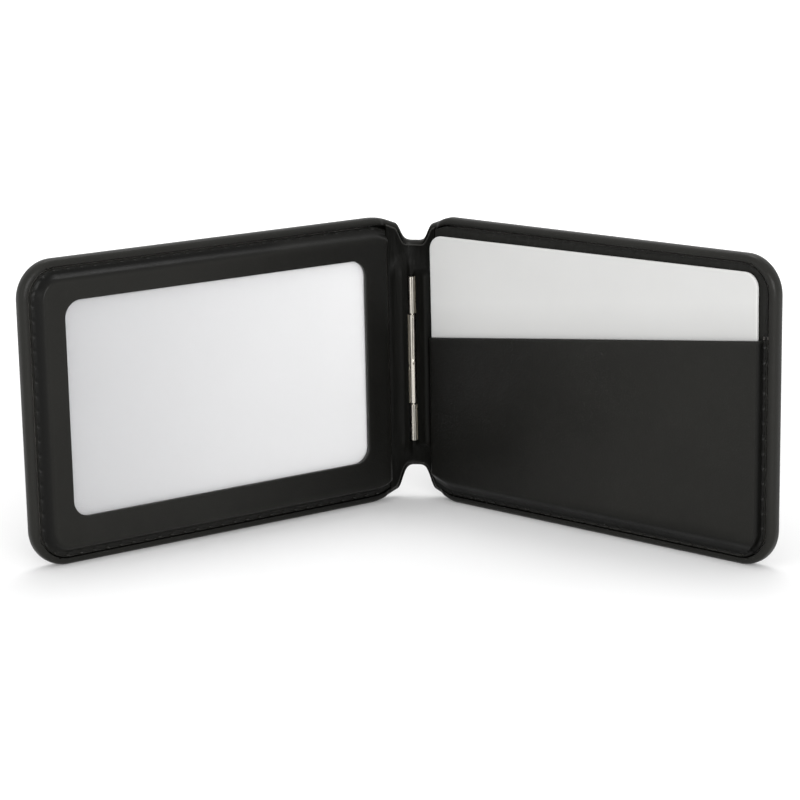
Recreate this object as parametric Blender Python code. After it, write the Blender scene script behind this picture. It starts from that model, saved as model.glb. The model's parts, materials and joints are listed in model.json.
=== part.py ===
"""Magnetic phone wallet: two padded leather panels on a small metal hinge, standing open like a book.

The pocket panel holds a card behind a slanted pocket and a ring of magnets behind its back leather.
The cover panel has a framed window with a clear film over a blank insert. A strip of leather wraps
the spine behind the hinge, and a lining covers the hinge leaves in front.

Each panel is modelled in its own frame: x runs from the hinge axis to the free end (turned to minus x
on the cover panel), y runs from the closing plane into the panel, and z is up. Lengths are in metres.
"""
import math

import bmesh
import bpy
from mathutils import Vector

# The card that the pocket is made for
CARD_LENGTH = 0.0856
CARD_HEIGHT = 0.05398
CARD_THICKNESS = 0.0008
CARD_CORNER = 0.00318
CARD_TILT = math.radians(0.5)
CARD_FROM_HINGE = 0.0049
CARD_SIDE_PLAY = 0.0001
CARD_FACE_PLAY = 0.0002
ABOVE_CARD = 0.0041

# Leather, boards and padding, by thickness
BACK_LEATHER = 0.0009
FRAME_LEATHER = 0.0009
POCKET_LEATHER = 0.0007
SEAM_LEATHER = 0.0004
LINING = 0.0003
BOARD = 0.00125
FOAM = 0.0005
FILM = 0.00025
INSERT = 0.0005

# Clearances
GAP = 0.0003
GLUE_LINE = 0.00015
CLOSED_GAP = 0.0003

# Rolled rim and stitched edge
RIM_WIDTH = 0.0015
EDGE_ROUND = 0.0013
SEAM_WIDTH = 0.0008
POCKET_SLOPE = 0.0003
POCKET_FLOOR_SLOPE = 0.0029
FRAME_SLOPE = 0.0016
FREE_CORNER = 0.008
THREAD_RADIUS = 0.0002
THREAD_PLAY = 0.00005
STITCH_START = 0.009

# Spine
PANEL_START = 0.0054
SPINE_CURVE_END = 0.0117
SPINE_CURVE_LENGTH = 0.0095
SPINE_CURVE_HEIGHT = 0.004
NOTCH_HALF_WIDTH = 0.0033
NOTCH_DEPTH = 0.007
OPENING_ANGLE = math.radians(103.3)

# Window of the cover panel, measured from the hinge axis and the panel's edges
WINDOW_FROM_HINGE = 0.0119
WINDOW_FROM_FREE_END = 0.0088
WINDOW_FROM_TOP = 0.0085
WINDOW_FROM_BOTTOM = 0.0102
WINDOW_CORNER = 0.0036
FILM_OVERLAP = 0.0024
INSERT_OVERLAP = 0.0038

# Slanted mouth of the pocket, by how far it lies below the panel's top
MOUTH_DROP_AT_HINGE = 0.0267
MOUTH_DROP_AT_FREE_END = 0.0164

# Hinge
BARREL_RADIUS = 0.00075
BORE_RADIUS = 0.0004
PIN_RADIUS = 0.00035
BARREL_LENGTH = 0.037
MIDDLE_KNUCKLE = 0.02
KNUCKLE_GAP = 0.0003
LEAF = 0.0003
LEAF_REACH = 0.0078
LEAF_FLAT = 0.0014
LEAF_RAMP = 0.00075
RIVETS = 3
RIVET_RADIUS = 0.0005
RIVET_HEAD_RADIUS = 0.0011
RIVET_HEAD = 0.00025
RIVET_EDGE = 0.005

# Magnets
RING_EDGE = 0.0019
RING_WIDTH = 0.0045
RING_MAGNETS = 16
MAGNET = 0.0005
SHIELD = 0.0002
ALIGNMENT_LENGTH = 0.0085
ALIGNMENT_WIDTH = 0.0052
ALIGNMENT_GAP = 0.0035
ALIGNMENT_EDGE = 0.0073
CLOSURE_LENGTH = 0.01
CLOSURE_WIDTH = 0.0028
CLOSURE_EDGE = 0.0016

# Smoothness of round shapes, as counts
CORNER_STEPS = 8
SPINE_STEPS = 6
ROUND_STEPS = 4
CIRCLE_STEPS = 24
ARC_STEPS = 3

# Places across the panel, from its free, top and bottom edges
SEAM_EDGE = RIM_WIDTH + GAP
SEAM_END = SEAM_EDGE + SEAM_WIDTH
THREAD_LINE = SEAM_EDGE + SEAM_WIDTH / 2
POCKET_SHOULDER = SEAM_END + POCKET_SLOPE
CARD_END = POCKET_SHOULDER + GAP + CARD_SIDE_PLAY
CARD_FLOOR = CARD_END + POCKET_FLOOR_SLOPE - POCKET_SLOPE

PANEL_REACH = CARD_FROM_HINGE + CARD_LENGTH + CARD_END
PANEL_HEIGHT = CARD_FLOOR + CARD_HEIGHT + ABOVE_CARD
MOUTH_AT_HINGE = PANEL_HEIGHT - MOUTH_DROP_AT_HINGE
MOUTH_AT_FREE_END = PANEL_HEIGHT - MOUTH_DROP_AT_FREE_END
HALF_ANGLE = OPENING_ANGLE / 2
HALF_TURN = math.pi / 2 - HALF_ANGLE

# Depths into the panel, from the closing plane
FRONT = CLOSED_GAP / 2
CARD_FRONT = FRONT + POCKET_LEATHER + CARD_FACE_PLAY
LINING_FRONT = CARD_FRONT + CARD_THICKNESS + CARD_FACE_PLAY
BOARD_FRONT = LINING_FRONT + LINING + GLUE_LINE
BOARD_BACK = BOARD_FRONT + BOARD
FOAM_FRONT = BOARD_BACK + GLUE_LINE
BACK_INNER = FOAM_FRONT + FOAM + GLUE_LINE
PANEL_BACK = BACK_INNER + BACK_LEATHER
RIM_FRONT = LINING_FRONT
EDGE_BACK = BOARD_FRONT - GLUE_LINE
EDGE_FRONT = EDGE_BACK - SEAM_LEATHER
FILM_FRONT = FRONT + FRAME_LEATHER + GLUE_LINE
INSERT_FRONT = FILM_FRONT + FILM + GLUE_LINE

# Hinge leaf, by the depth of its middle
LEAF_AT_BARREL = BARREL_RADIUS - LEAF / 2
LEAF_FRONT = BOARD_FRONT + RIVET_HEAD + GLUE_LINE
LEAF_IN_PANEL = LEAF_FRONT + LEAF / 2
LEAF_CUT = BARREL_RADIUS + GAP
LEAF_BEND = LEAF_CUT + LEAF_FLAT
LEAF_END = LEAF_BEND + LEAF_RAMP + LEAF_REACH
REBATE_FLOOR = LEAF_FRONT + LEAF + GLUE_LINE

# Spine leather and lining, by the depth of their middle
LINING_DEPTH = LINING_FRONT + LINING / 2
FLAP_DEPTH = LEAF_AT_BARREL - LEAF / 2 - LINING - (GLUE_LINE - LINING) / 2
SPINE_DEPTH = PANEL_BACK - BACK_LEATHER / 2
SPINE_EDGE = PANEL_START - GAP


def spine_arc():
    """Radius and centre of the spine leather's arc, which meets both back leathers smoothly."""
    edge_x = SPINE_EDGE * math.cos(HALF_TURN) + SPINE_DEPTH * math.sin(HALF_TURN)
    edge_y = SPINE_DEPTH * math.cos(HALF_TURN) - SPINE_EDGE * math.sin(HALF_TURN)
    radius = edge_x / math.sin(HALF_TURN)
    return radius, edge_y - radius * math.cos(HALF_TURN)


def hinge_place():
    """Where the hinge axis stands, so that the wallet's footprint is centred on the origin."""
    radius, centre = spine_arc()
    spine_back = centre + radius + BACK_LEATHER / 2
    free_end = (PANEL_REACH - EDGE_ROUND) * math.sin(HALF_TURN) + EDGE_ROUND
    free_end -= (RIM_FRONT + EDGE_ROUND) * math.cos(HALF_TURN)
    return (free_end - spine_back) / 2


HINGE_Y = hinge_place()


def clear_scene():
    for thing in list(bpy.data.objects):
        bpy.data.objects.remove(thing, do_unlink=True)


def finish_material(name, colour, roughness, metallic=0.0):
    """A plain finish, made once under its name."""
    found = bpy.data.materials.get(name)
    if found:
        return found
    finish = bpy.data.materials.new(name)
    finish.use_nodes = True
    shader = finish.node_tree.nodes["Principled BSDF"]
    shader.inputs["Base Color"].default_value = (*colour, 1.0)
    shader.inputs["Roughness"].default_value = roughness
    shader.inputs["Metallic"].default_value = metallic
    return finish


def leather():
    return finish_material("black_leather", (0.012, 0.012, 0.011), 0.5)


def lining_cloth():
    return finish_material("black_lining", (0.018, 0.018, 0.017), 0.65)


def thread():
    return finish_material("black_thread", (0.008, 0.008, 0.008), 0.6)


def nickel():
    return finish_material("nickel_steel", (0.62, 0.58, 0.52), 0.28, 1.0)


def magnet_metal():
    return finish_material("magnet_nickel", (0.55, 0.55, 0.56), 0.3, 1.0)


def shield_steel():
    return finish_material("shield_steel", (0.42, 0.43, 0.44), 0.4, 1.0)


def board_fibre():
    return finish_material("board_fibre", (0.16, 0.15, 0.14), 0.8)


def foam_sponge():
    return finish_material("foam_sponge", (0.09, 0.09, 0.09), 0.9)


def clear_film():
    return finish_material("clear_film", (0.86, 0.87, 0.88), 0.12)


def blank_card():
    return finish_material("blank_card", (0.7, 0.7, 0.69), 0.35)


def empty_at(name, place, turn, parent=None):
    """An empty that carries the pieces of one body."""
    empty = bpy.data.objects.new(name, None)
    bpy.context.collection.objects.link(empty)
    empty.location = place
    empty.rotation_euler = (0, 0, turn)
    empty.parent = parent
    return empty


def make_object(name, mesh_maker, finish, carrier=None, smooth=False):
    """Turns a bmesh into a named object that its carrier holds."""
    bmesh.ops.recalc_face_normals(mesh_maker, faces=mesh_maker.faces)
    mesh = bpy.data.meshes.new(name)
    mesh_maker.to_mesh(mesh)
    mesh_maker.free()
    if finish:
        mesh.materials.append(finish)
    if smooth:
        mesh.shade_smooth()
        mesh.set_sharp_from_angle(angle=math.radians(35))
    piece = bpy.data.objects.new(name, mesh)
    bpy.context.collection.objects.link(piece)
    piece.parent = carrier
    return piece


def make_cutter(name, mesh_maker, carrier):
    """A guide shape that cuts other pieces and is never built itself."""
    cutter = make_object(name, mesh_maker, None, carrier)
    cutter.hide_render = True
    cutter.display_type = "WIRE"
    return cutter


def cut(piece, cutter):
    step = piece.modifiers.new("cut_" + cutter.name, "BOOLEAN")
    step.operation = "DIFFERENCE"
    step.object = cutter


def join(piece, other):
    step = piece.modifiers.new("join_" + other.name, "BOOLEAN")
    step.operation = "UNION"
    step.object = other


def slab(points, front, back):
    """A flat plate with the outline given as (x, z) points, between two depths."""
    shape = bmesh.new()
    corners = [shape.verts.new((x, front, z)) for x, z in points]
    face = shape.faces.new(corners)
    grown = bmesh.ops.extrude_face_region(shape, geom=[face])
    moved = [part for part in grown["geom"] if isinstance(part, bmesh.types.BMVert)]
    bmesh.ops.translate(shape, verts=moved, vec=(0, back - front, 0))
    return shape


def loft(rings):
    """A closed body through rings of equal count, each a list of (x, y, z), with flat ends."""
    shape = bmesh.new()
    rows = [[shape.verts.new(place) for place in ring] for ring in rings]
    count = len(rows[0])
    for row, following in zip(rows, rows[1:]):
        for first in range(count):
            second = (first + 1) % count
            shape.faces.new((row[first], row[second], following[second], following[first]))
    shape.faces.new(rows[0])
    shape.faces.new(rows[-1])
    return shape


def arc(centre_x, centre_z, radius, start, end, steps):
    """Points along an arc, from one angle to the other."""
    angles = [start + (end - start) * step / steps for step in range(steps + 1)]
    return [(centre_x + radius * math.cos(a), centre_z + radius * math.sin(a)) for a in angles]


def rounded_rectangle(low_x, high_x, low_z, high_z, radius):
    quarter = math.pi / 2
    points = []
    corners = ((high_x, low_z, -1), (high_x, high_z, 0), (low_x, high_z, 1), (low_x, low_z, 2))
    for x, z, quarters in corners:
        centre_x = x - radius if x == high_x else x + radius
        centre_z = z - radius if z == high_z else z + radius
        start = quarters * quarter
        points += arc(centre_x, centre_z, radius, start, start + quarter, CORNER_STEPS)
    return points


def spine_rise(distance):
    """How far the panel's long edges draw in towards the spine, by distance from the hinge axis."""
    if distance >= SPINE_CURVE_END:
        return 0.0
    share = min(1.0, (SPINE_CURVE_END - distance) / SPINE_CURVE_LENGTH)
    return SPINE_CURVE_HEIGHT * (1 - math.sqrt(1 - share * share))


def notch_rise(x, half_width):
    """The same across the spine, of half the given width, where a round notch runs in."""
    x = abs(x)
    if x >= NOTCH_HALF_WIDTH:
        start = SPINE_CURVE_END - SPINE_CURVE_LENGTH
        share = (x - NOTCH_HALF_WIDTH) / (half_width - NOTCH_HALF_WIDTH)
        return spine_rise(start + share * (SPINE_EDGE - start))
    share = x / NOTCH_HALF_WIDTH
    notch = NOTCH_DEPTH - SPINE_CURVE_HEIGHT
    return SPINE_CURVE_HEIGHT + notch * math.sqrt(1 - share * share)


def panel_outline(inset, side, start=PANEL_START, floor_inset=None):
    """A panel's outline as (x, z) points, drawn in evenly except at the spine."""
    floor = inset if floor_inset is None else floor_inset
    radius = FREE_CORNER - inset
    end = PANEL_REACH - inset
    stretch = SPINE_CURVE_END - start
    along = [start + stretch * step / SPINE_STEPS for step in range(SPINE_STEPS + 1)]
    quarter = math.pi / 2
    low = [(x, floor + spine_rise(x)) for x in along]
    high = [(x, PANEL_HEIGHT - inset - spine_rise(x)) for x in reversed(along)]
    low_corner = arc(end - radius, floor + radius, radius, -quarter, 0, CORNER_STEPS)
    high_corner = arc(end - radius, PANEL_HEIGHT - inset - radius, radius, 0, quarter, CORNER_STEPS)
    return [(side * x, z) for x, z in low + low_corner + high_corner + high]


def ring_at(outline, depth):
    return [(x, depth, z) for x, z in outline]


def back_leather(name, side, carrier):
    """Outer leather: a back wall with a rolled rim on the three free edges."""
    turns = [math.pi / 2 * step / ROUND_STEPS for step in range(ROUND_STEPS + 1)]
    profile = [(EDGE_ROUND * (1 - math.sin(t)), RIM_FRONT + EDGE_ROUND * (1 - math.cos(t))) for t in turns]
    profile += [(EDGE_ROUND * (1 - math.cos(t)), PANEL_BACK - EDGE_ROUND * (1 - math.sin(t))) for t in turns]
    rings = [ring_at(panel_outline(inset, side), depth) for inset, depth in profile]
    piece = make_object(name, loft(rings), leather(), carrier, smooth=True)
    hollow_start = PANEL_START - GAP
    hollow = slab(panel_outline(RIM_WIDTH, side, hollow_start), RIM_FRONT - GAP, BACK_INNER)
    cut(piece, make_cutter(name + "_hollow", hollow, carrier))
    return piece


def foam_pad(name, side, carrier):
    outline = panel_outline(SEAM_EDGE, side, PANEL_START + GAP)
    make_object(name, slab(outline, FOAM_FRONT, FOAM_FRONT + FOAM), foam_sponge(), carrier)


def leaf_heights():
    """Lowest and highest point of the hinge."""
    middle = PANEL_HEIGHT / 2
    return middle - BARREL_LENGTH / 2, middle + BARREL_LENGTH / 2


def rivet_places():
    low, high = leaf_heights()
    first, last = low + RIVET_EDGE, high - RIVET_EDGE
    heights = [first + (last - first) * step / (RIVETS - 1) for step in range(RIVETS)]
    return LEAF_END - RIVET_HEAD_RADIUS - GAP, heights


def closure_places():
    """Middles of the two closure magnets, near the free end's corners."""
    across = PANEL_REACH - SEAM_EDGE - CLOSURE_EDGE - CLOSURE_WIDTH / 2
    inset = FREE_CORNER + CLOSURE_LENGTH / 2
    return across, (inset, PANEL_HEIGHT - inset)


def upright_cylinder(radius, low, high, steps=CIRCLE_STEPS):
    shape = bmesh.new()
    bmesh.ops.create_cone(shape, cap_ends=True, segments=steps, radius1=radius, radius2=radius,
                          depth=high - low)
    bmesh.ops.translate(shape, verts=shape.verts, vec=(0, 0, (low + high) / 2))
    return shape


def depth_cylinder(x, z, radius, front, back):
    return slab(arc(x, z, radius, 0, 2 * math.pi, CIRCLE_STEPS)[:-1], front, back)


def ring_magnet_sizes():
    """Centre and radii of the magnet ring: the largest that leaves room for the bar magnet."""
    centre = (PANEL_START + PANEL_REACH) / 2
    room_across = PANEL_HEIGHT / 2 - SEAM_EDGE - RING_EDGE
    room_along = PANEL_REACH - centre - ALIGNMENT_GAP - ALIGNMENT_WIDTH - ALIGNMENT_EDGE
    outer = min(room_across, room_along)
    return centre, outer, outer - RING_WIDTH


def rebate_outline(side, extra):
    low, high = leaf_heights()
    start, end = PANEL_START - GAP, LEAF_END + extra
    return [(side * x, z) for x, z in ((start, low - extra), (end, low - extra), (end, high + extra),
                                       (start, high + extra))]


def stiffener_board(name, side, carrier):
    """Stiff board with a rebate for the hinge leaf, rivet holes and pockets for closure magnets."""
    outline = panel_outline(SEAM_EDGE, side, PANEL_START + GAP)
    piece = make_object(name, slab(outline, BOARD_FRONT, BOARD_BACK), board_fibre(), carrier)
    across, heights = rivet_places()
    for number, height in enumerate(heights, 1):
        hole = depth_cylinder(side * across, height, RIVET_RADIUS + GLUE_LINE, BOARD_FRONT - GAP,
                              BOARD_BACK + GAP)
        cut(piece, make_cutter(f"{name}_rivet_hole_{number}", hole, carrier))
    rebate = slab(rebate_outline(side, GAP), BOARD_FRONT - GAP, REBATE_FLOOR)
    cut(piece, make_cutter(name + "_rebate", rebate, carrier))
    across, heights = closure_places()
    for number, height in enumerate(heights, 1):
        pocket = slab(closure_outline(side * across, height, GLUE_LINE), BOARD_FRONT - GAP,
                      BOARD_FRONT + MAGNET + 2 * GLUE_LINE)
        cut(piece, make_cutter(f"{name}_closure_pocket_{number}", pocket, carrier))
    return piece


def closure_outline(x, z, extra):
    half_width, half_length = CLOSURE_WIDTH / 2 + extra, CLOSURE_LENGTH / 2 + extra
    return [(x - half_width, z - half_length), (x + half_width, z - half_length),
            (x + half_width, z + half_length), (x - half_width, z + half_length)]


def closure_magnets(prefix, side, carrier):
    across, heights = closure_places()
    front = BOARD_FRONT + GLUE_LINE
    for name, height in zip(("lower", "upper"), heights):
        shape = slab(closure_outline(side * across, height, 0), front, front + MAGNET)
        make_object(f"{prefix}_closure_magnet_{name}", shape, magnet_metal(), carrier)


def ring_sector(centre, inner, outer, start, end, steps):
    middle = PANEL_HEIGHT / 2
    return arc(centre, middle, outer, start, end, steps) + arc(centre, middle, inner, end, start, steps)


def alignment_outline(extra):
    """The bar magnet below the ring, which sets the phone's turn; it lies along the panel."""
    centre, outer, _ = ring_magnet_sizes()
    low_x = centre + outer + ALIGNMENT_GAP - extra
    high_x = centre + outer + ALIGNMENT_GAP + ALIGNMENT_WIDTH + extra
    half = ALIGNMENT_LENGTH / 2 + extra
    middle = PANEL_HEIGHT / 2
    return [(low_x, middle - half), (high_x, middle - half), (high_x, middle + half), (low_x, middle + half)]


def magnet_array(board, carrier):
    """Ring of magnets with its shield, and the bar magnet, let into the board from behind."""
    centre, outer, inner = ring_magnet_sizes()
    middle = PANEL_HEIGHT / 2
    magnet_front = BOARD_BACK - MAGNET
    shield_front = magnet_front - GLUE_LINE - SHIELD
    channel_front = shield_front - GLUE_LINE
    channel = ring_body(centre, inner - GLUE_LINE, outer + GLUE_LINE, channel_front, BOARD_BACK + GAP)
    cut(board, make_cutter("magnet_channel", channel, carrier))
    pocket = slab(alignment_outline(GLUE_LINE), magnet_front - GLUE_LINE, BOARD_BACK + GAP)
    cut(board, make_cutter("alignment_pocket", pocket, carrier))
    shield = ring_body(centre, inner, outer, shield_front, shield_front + SHIELD)
    make_object("shield_ring", shield, shield_steel(), carrier)
    pitch = 2 * math.pi / RING_MAGNETS
    half_gap = GAP / 2 / inner
    for number in range(RING_MAGNETS):
        start = number * pitch + half_gap
        outline = ring_sector(centre, inner, outer, start, start + pitch - 2 * half_gap, ARC_STEPS)
        shape = slab(outline, magnet_front, BOARD_BACK)
        make_object(f"ring_magnet_{number + 1:02d}", shape, magnet_metal(), carrier)
    bar = slab(alignment_outline(0), magnet_front, BOARD_BACK)
    make_object("alignment_magnet", bar, magnet_metal(), carrier)
    return centre, middle


def ring_body(centre, inner, outer, front, back):
    """A flat ring about a depth axis, turned from its square section."""
    steps = RING_MAGNETS * ARC_STEPS
    middle = PANEL_HEIGHT / 2
    shape = bmesh.new()
    section = [shape.verts.new((centre + radius, depth, middle))
               for radius, depth in ((inner, front), (outer, front), (outer, back), (inner, back))]
    edges = [shape.edges.new((section[i], section[(i + 1) % len(section)])) for i in range(len(section))]
    bmesh.ops.spin(shape, geom=section + edges, cent=(centre, 0, middle), axis=(0, 1, 0),
                   angle=2 * math.pi, steps=steps, use_merge=True)
    bmesh.ops.remove_doubles(shape, verts=shape.verts, dist=GLUE_LINE / 10)
    return shape


def leaf_sheet(side, own_rows, heights):
    """Middle surface of a hinge leaf: tongues at its own knuckles, an offset and a flat plate."""
    columns = [(LEAF_CUT / 10, LEAF_AT_BARREL), (LEAF_CUT, LEAF_AT_BARREL), (LEAF_BEND, LEAF_AT_BARREL),
               (LEAF_BEND + LEAF_RAMP, LEAF_IN_PANEL), (LEAF_END, LEAF_IN_PANEL)]
    shape = bmesh.new()
    grid = [[shape.verts.new((side * x, depth, z)) for x, depth in columns] for z in heights]
    for row in range(len(heights) - 1):
        for column in range(len(columns) - 1):
            if column == 0 and row not in own_rows:
                continue
            shape.faces.new((grid[row][column], grid[row][column + 1],
                             grid[row + 1][column + 1], grid[row + 1][column]))
    loose = [corner for corner in shape.verts if not corner.link_faces]
    bmesh.ops.delete(shape, geom=loose, context="VERTS")
    return shape


def thicken(piece, thickness):
    step = piece.modifiers.new("thickness", "SOLIDIFY")
    step.thickness = thickness
    step.offset = 0
    step.use_even_offset = True


def hinge_leaf(name, side, carrier, knuckles, own_rows, heights):
    """One half of the hinge, with a bored knuckle at each of its own stretches."""
    piece = make_object(name, leaf_sheet(side, own_rows, heights), nickel(), carrier, smooth=True)
    thicken(piece, LEAF)
    for number, (low, high) in enumerate(knuckles, 1):
        barrel = make_cutter(f"{name}_knuckle_{number}", upright_cylinder(BARREL_RADIUS, low, high), carrier)
        join(piece, barrel)
    low, high = leaf_heights()
    bore = upright_cylinder(BORE_RADIUS, low - GAP, high + GAP)
    cut(piece, make_cutter(name + "_bore", bore, carrier))
    across, places = rivet_places()
    for number, height in enumerate(places, 1):
        hole = depth_cylinder(side * across, height, RIVET_RADIUS + GLUE_LINE, LEAF_FRONT - GAP,
                              REBATE_FLOOR)
        cut(piece, make_cutter(f"{name}_hole_{number}", hole, carrier))


def knuckle_spans():
    """Heights of the lower, middle and upper knuckles."""
    low, high = leaf_heights()
    middle = PANEL_HEIGHT / 2
    joint_low, joint_high = middle - MIDDLE_KNUCKLE / 2, middle + MIDDLE_KNUCKLE / 2
    return ((low, joint_low - KNUCKLE_GAP), (joint_low, joint_high), (joint_high + KNUCKLE_GAP, high))


def hinge(pocket_panel, cover_panel):
    lower, middle, upper = knuckle_spans()
    heights = [*lower, *middle, *upper]
    hinge_leaf("hinge_leaf_pocket_side", 1, pocket_panel, (lower, upper), (0, 4), heights)
    hinge_leaf("hinge_leaf_cover_side", -1, cover_panel, (middle,), (2,), heights)
    pin = upright_cylinder(PIN_RADIUS, lower[0], upper[1])
    make_object("hinge_pin", pin, nickel(), pocket_panel, smooth=True)


def rivets(prefix, side, carrier):
    """Flat-headed rivets that hold the leaf to the board."""
    across, heights = rivet_places()
    head_back = LEAF_FRONT - GLUE_LINE / 2
    for number, height in enumerate(heights, 1):
        name = f"{prefix}_rivet_{number}"
        profile = [(RIVET_HEAD_RADIUS, head_back - RIVET_HEAD), (RIVET_HEAD_RADIUS, head_back),
                   (RIVET_RADIUS, head_back), (RIVET_RADIUS, BOARD_BACK)]
        rings = [ring_at(arc(side * across, height, radius, 0, 2 * math.pi, CIRCLE_STEPS)[:-1], depth)
                 for radius, depth in profile]
        make_object(name, loft(rings), nickel(), carrier, smooth=True)


def front_leather(side, thickness, slope, floor_slope, edge_wall):
    """Front leather that rises from its stitched edge to a flat face, hollow underneath."""
    shoulder = SEAM_END + slope
    floor = SEAM_END + floor_slope
    inner_start = PANEL_START + edge_wall
    rings = [
        ring_at(panel_outline(SEAM_EDGE, side), EDGE_BACK),
        ring_at(panel_outline(SEAM_EDGE, side), EDGE_FRONT),
        ring_at(panel_outline(SEAM_END, side), EDGE_FRONT - GLUE_LINE / 2),
        ring_at(panel_outline(shoulder, side, floor_inset=floor), FRONT),
    ]
    lid = loft(rings)
    hollow = loft([
        ring_at(panel_outline(SEAM_END + GAP, side, inner_start), EDGE_BACK + GAP),
        ring_at(panel_outline(SEAM_END + GAP, side, inner_start), EDGE_BACK),
        ring_at(panel_outline(shoulder + GAP, side, inner_start, floor + GAP), FRONT + thickness),
    ])
    return lid, hollow


def window_outline(overlap):
    high_x = PANEL_REACH - WINDOW_FROM_FREE_END + overlap
    low_x = WINDOW_FROM_HINGE - overlap
    return rounded_rectangle(-high_x, -low_x, WINDOW_FROM_BOTTOM - overlap,
                             PANEL_HEIGHT - WINDOW_FROM_TOP + overlap, WINDOW_CORNER)


def window_frame(carrier):
    """Front leather of the cover panel, with the window cut out."""
    lid, hollow = front_leather(-1, FRAME_LEATHER, FRAME_SLOPE, FRAME_SLOPE, FRAME_LEATHER)
    piece = make_object("window_frame_leather", lid, leather(), carrier)
    cut(piece, make_cutter("window_frame_hollow", hollow, carrier))
    opening = slab(window_outline(0), FRONT - GAP, FILM_FRONT)
    cut(piece, make_cutter("window_opening", opening, carrier))


def window_film(carrier):
    outline = window_outline(FILM_OVERLAP)
    make_object("window_film", slab(outline, FILM_FRONT, FILM_FRONT + FILM), clear_film(), carrier)


def window_insert(carrier):
    outline = window_outline(INSERT_OVERLAP)
    make_object("window_insert", slab(outline, INSERT_FRONT, INSERT_FRONT + INSERT), blank_card(), carrier)


def pocket_lining(carrier):
    inset = SEAM_END + GAP + GLUE_LINE
    outline = panel_outline(inset, 1, floor_inset=SEAM_END + POCKET_FLOOR_SLOPE / 2)
    make_object("pocket_lining", slab(outline, LINING_FRONT, LINING_FRONT + LINING), lining_cloth(), carrier)


def pocket_leather(carrier):
    """Pocket over the lower part of the panel, cut off along its slanted mouth."""
    lid, hollow = front_leather(1, POCKET_LEATHER, POCKET_SLOPE, POCKET_FLOOR_SLOPE, -GAP)
    piece = make_object("pocket_leather", lid, leather(), carrier)
    cut(piece, make_cutter("pocket_hollow", hollow, carrier))
    start, end = PANEL_START - GAP, PANEL_REACH
    above = PANEL_HEIGHT + GAP
    outline = [(start, MOUTH_AT_HINGE), (end, MOUTH_AT_FREE_END), (end, above), (start, above)]
    opening = slab(outline, FRONT - GAP, LINING_FRONT + GAP)
    cut(piece, make_cutter("pocket_mouth", opening, carrier))


def card(carrier):
    """Blank card in the pocket, a little askew about its lower inner corner."""
    holder = empty_at("card_slide", (CARD_FROM_HINGE, 0, CARD_FLOOR), 0, carrier)
    outline = rounded_rectangle(0, CARD_LENGTH, 0, CARD_HEIGHT, CARD_CORNER)
    piece = make_object("card", slab(outline, CARD_FRONT, CARD_FRONT + CARD_THICKNESS), blank_card(), holder)
    piece.rotation_euler = (0, -CARD_TILT, 0)


def thread_path(side, covered_height):
    """The seam's route in the valley by the rim: on the front leather's edge, or below it on the board."""
    outline = [(x, z) for x, z in panel_outline(THREAD_LINE, side) if abs(x) >= STITCH_START]
    middle = PANEL_HEIGHT / 2
    low = [(x, z) for x, z in outline if z < middle]
    high = [(x, z) for x, z in outline if z > middle]
    low_start = (side * STITCH_START, THREAD_LINE + spine_rise(STITCH_START))
    high_start = (side * STITCH_START, PANEL_HEIGHT - THREAD_LINE - spine_rise(STITCH_START))
    end = side * (PANEL_REACH - THREAD_LINE)
    at_mouth = [(end, MOUTH_AT_FREE_END), (end, MOUTH_AT_FREE_END + SEAM_WIDTH)]
    route = [low_start] + low + at_mouth + high + [high_start]
    on_edge, on_board = [depth - THREAD_PLAY - THREAD_RADIUS for depth in (EDGE_FRONT, BOARD_FRONT)]
    return [(x, on_edge if z <= covered_height else on_board, z) for x, z in route]


def seam_thread(name, side, carrier, covered_height):
    """Sewing thread as one tube along the seam, on top of the front leather up to the given height."""
    curve = bpy.data.curves.new(name, "CURVE")
    curve.dimensions = "3D"
    curve.bevel_depth = THREAD_RADIUS
    curve.bevel_resolution = 1
    curve.use_fill_caps = True
    route = thread_path(side, covered_height)
    spline = curve.splines.new("POLY")
    spline.points.add(len(route) - 1)
    for point, place in zip(spline.points, route):
        point.co = (*place, 1.0)
    curve.materials.append(thread())
    piece = bpy.data.objects.new(name, curve)
    bpy.context.collection.objects.link(piece)
    piece.parent = carrier


def spine_leather(spine):
    """Outer leather round the spine, notched at both ends."""
    radius, centre = spine_arc()
    steps = 4 * SPINE_STEPS
    shape = bmesh.new()
    low, high = [], []
    for step in range(steps + 1):
        share = 2 * step / steps - 1
        angle = HALF_TURN * share
        x, y = radius * math.sin(angle), centre + radius * math.cos(angle)
        rise = notch_rise(x, radius * math.sin(HALF_TURN))
        low.append(shape.verts.new((x, y, rise)))
        high.append(shape.verts.new((x, y, PANEL_HEIGHT - rise)))
    for first in range(steps):
        shape.faces.new((low[first], low[first + 1], high[first + 1], high[first]))
    piece = make_object("spine_leather", shape, leather(), spine, smooth=True)
    thicken(piece, BACK_LEATHER)


def on_panel(across, depth, side):
    """A place on one panel, in the spine's frame."""
    x = across * math.cos(HALF_TURN) + depth * math.sin(HALF_TURN)
    y = depth * math.cos(HALF_TURN) - across * math.sin(HALF_TURN)
    return Vector((side * x, y, 0))


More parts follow.
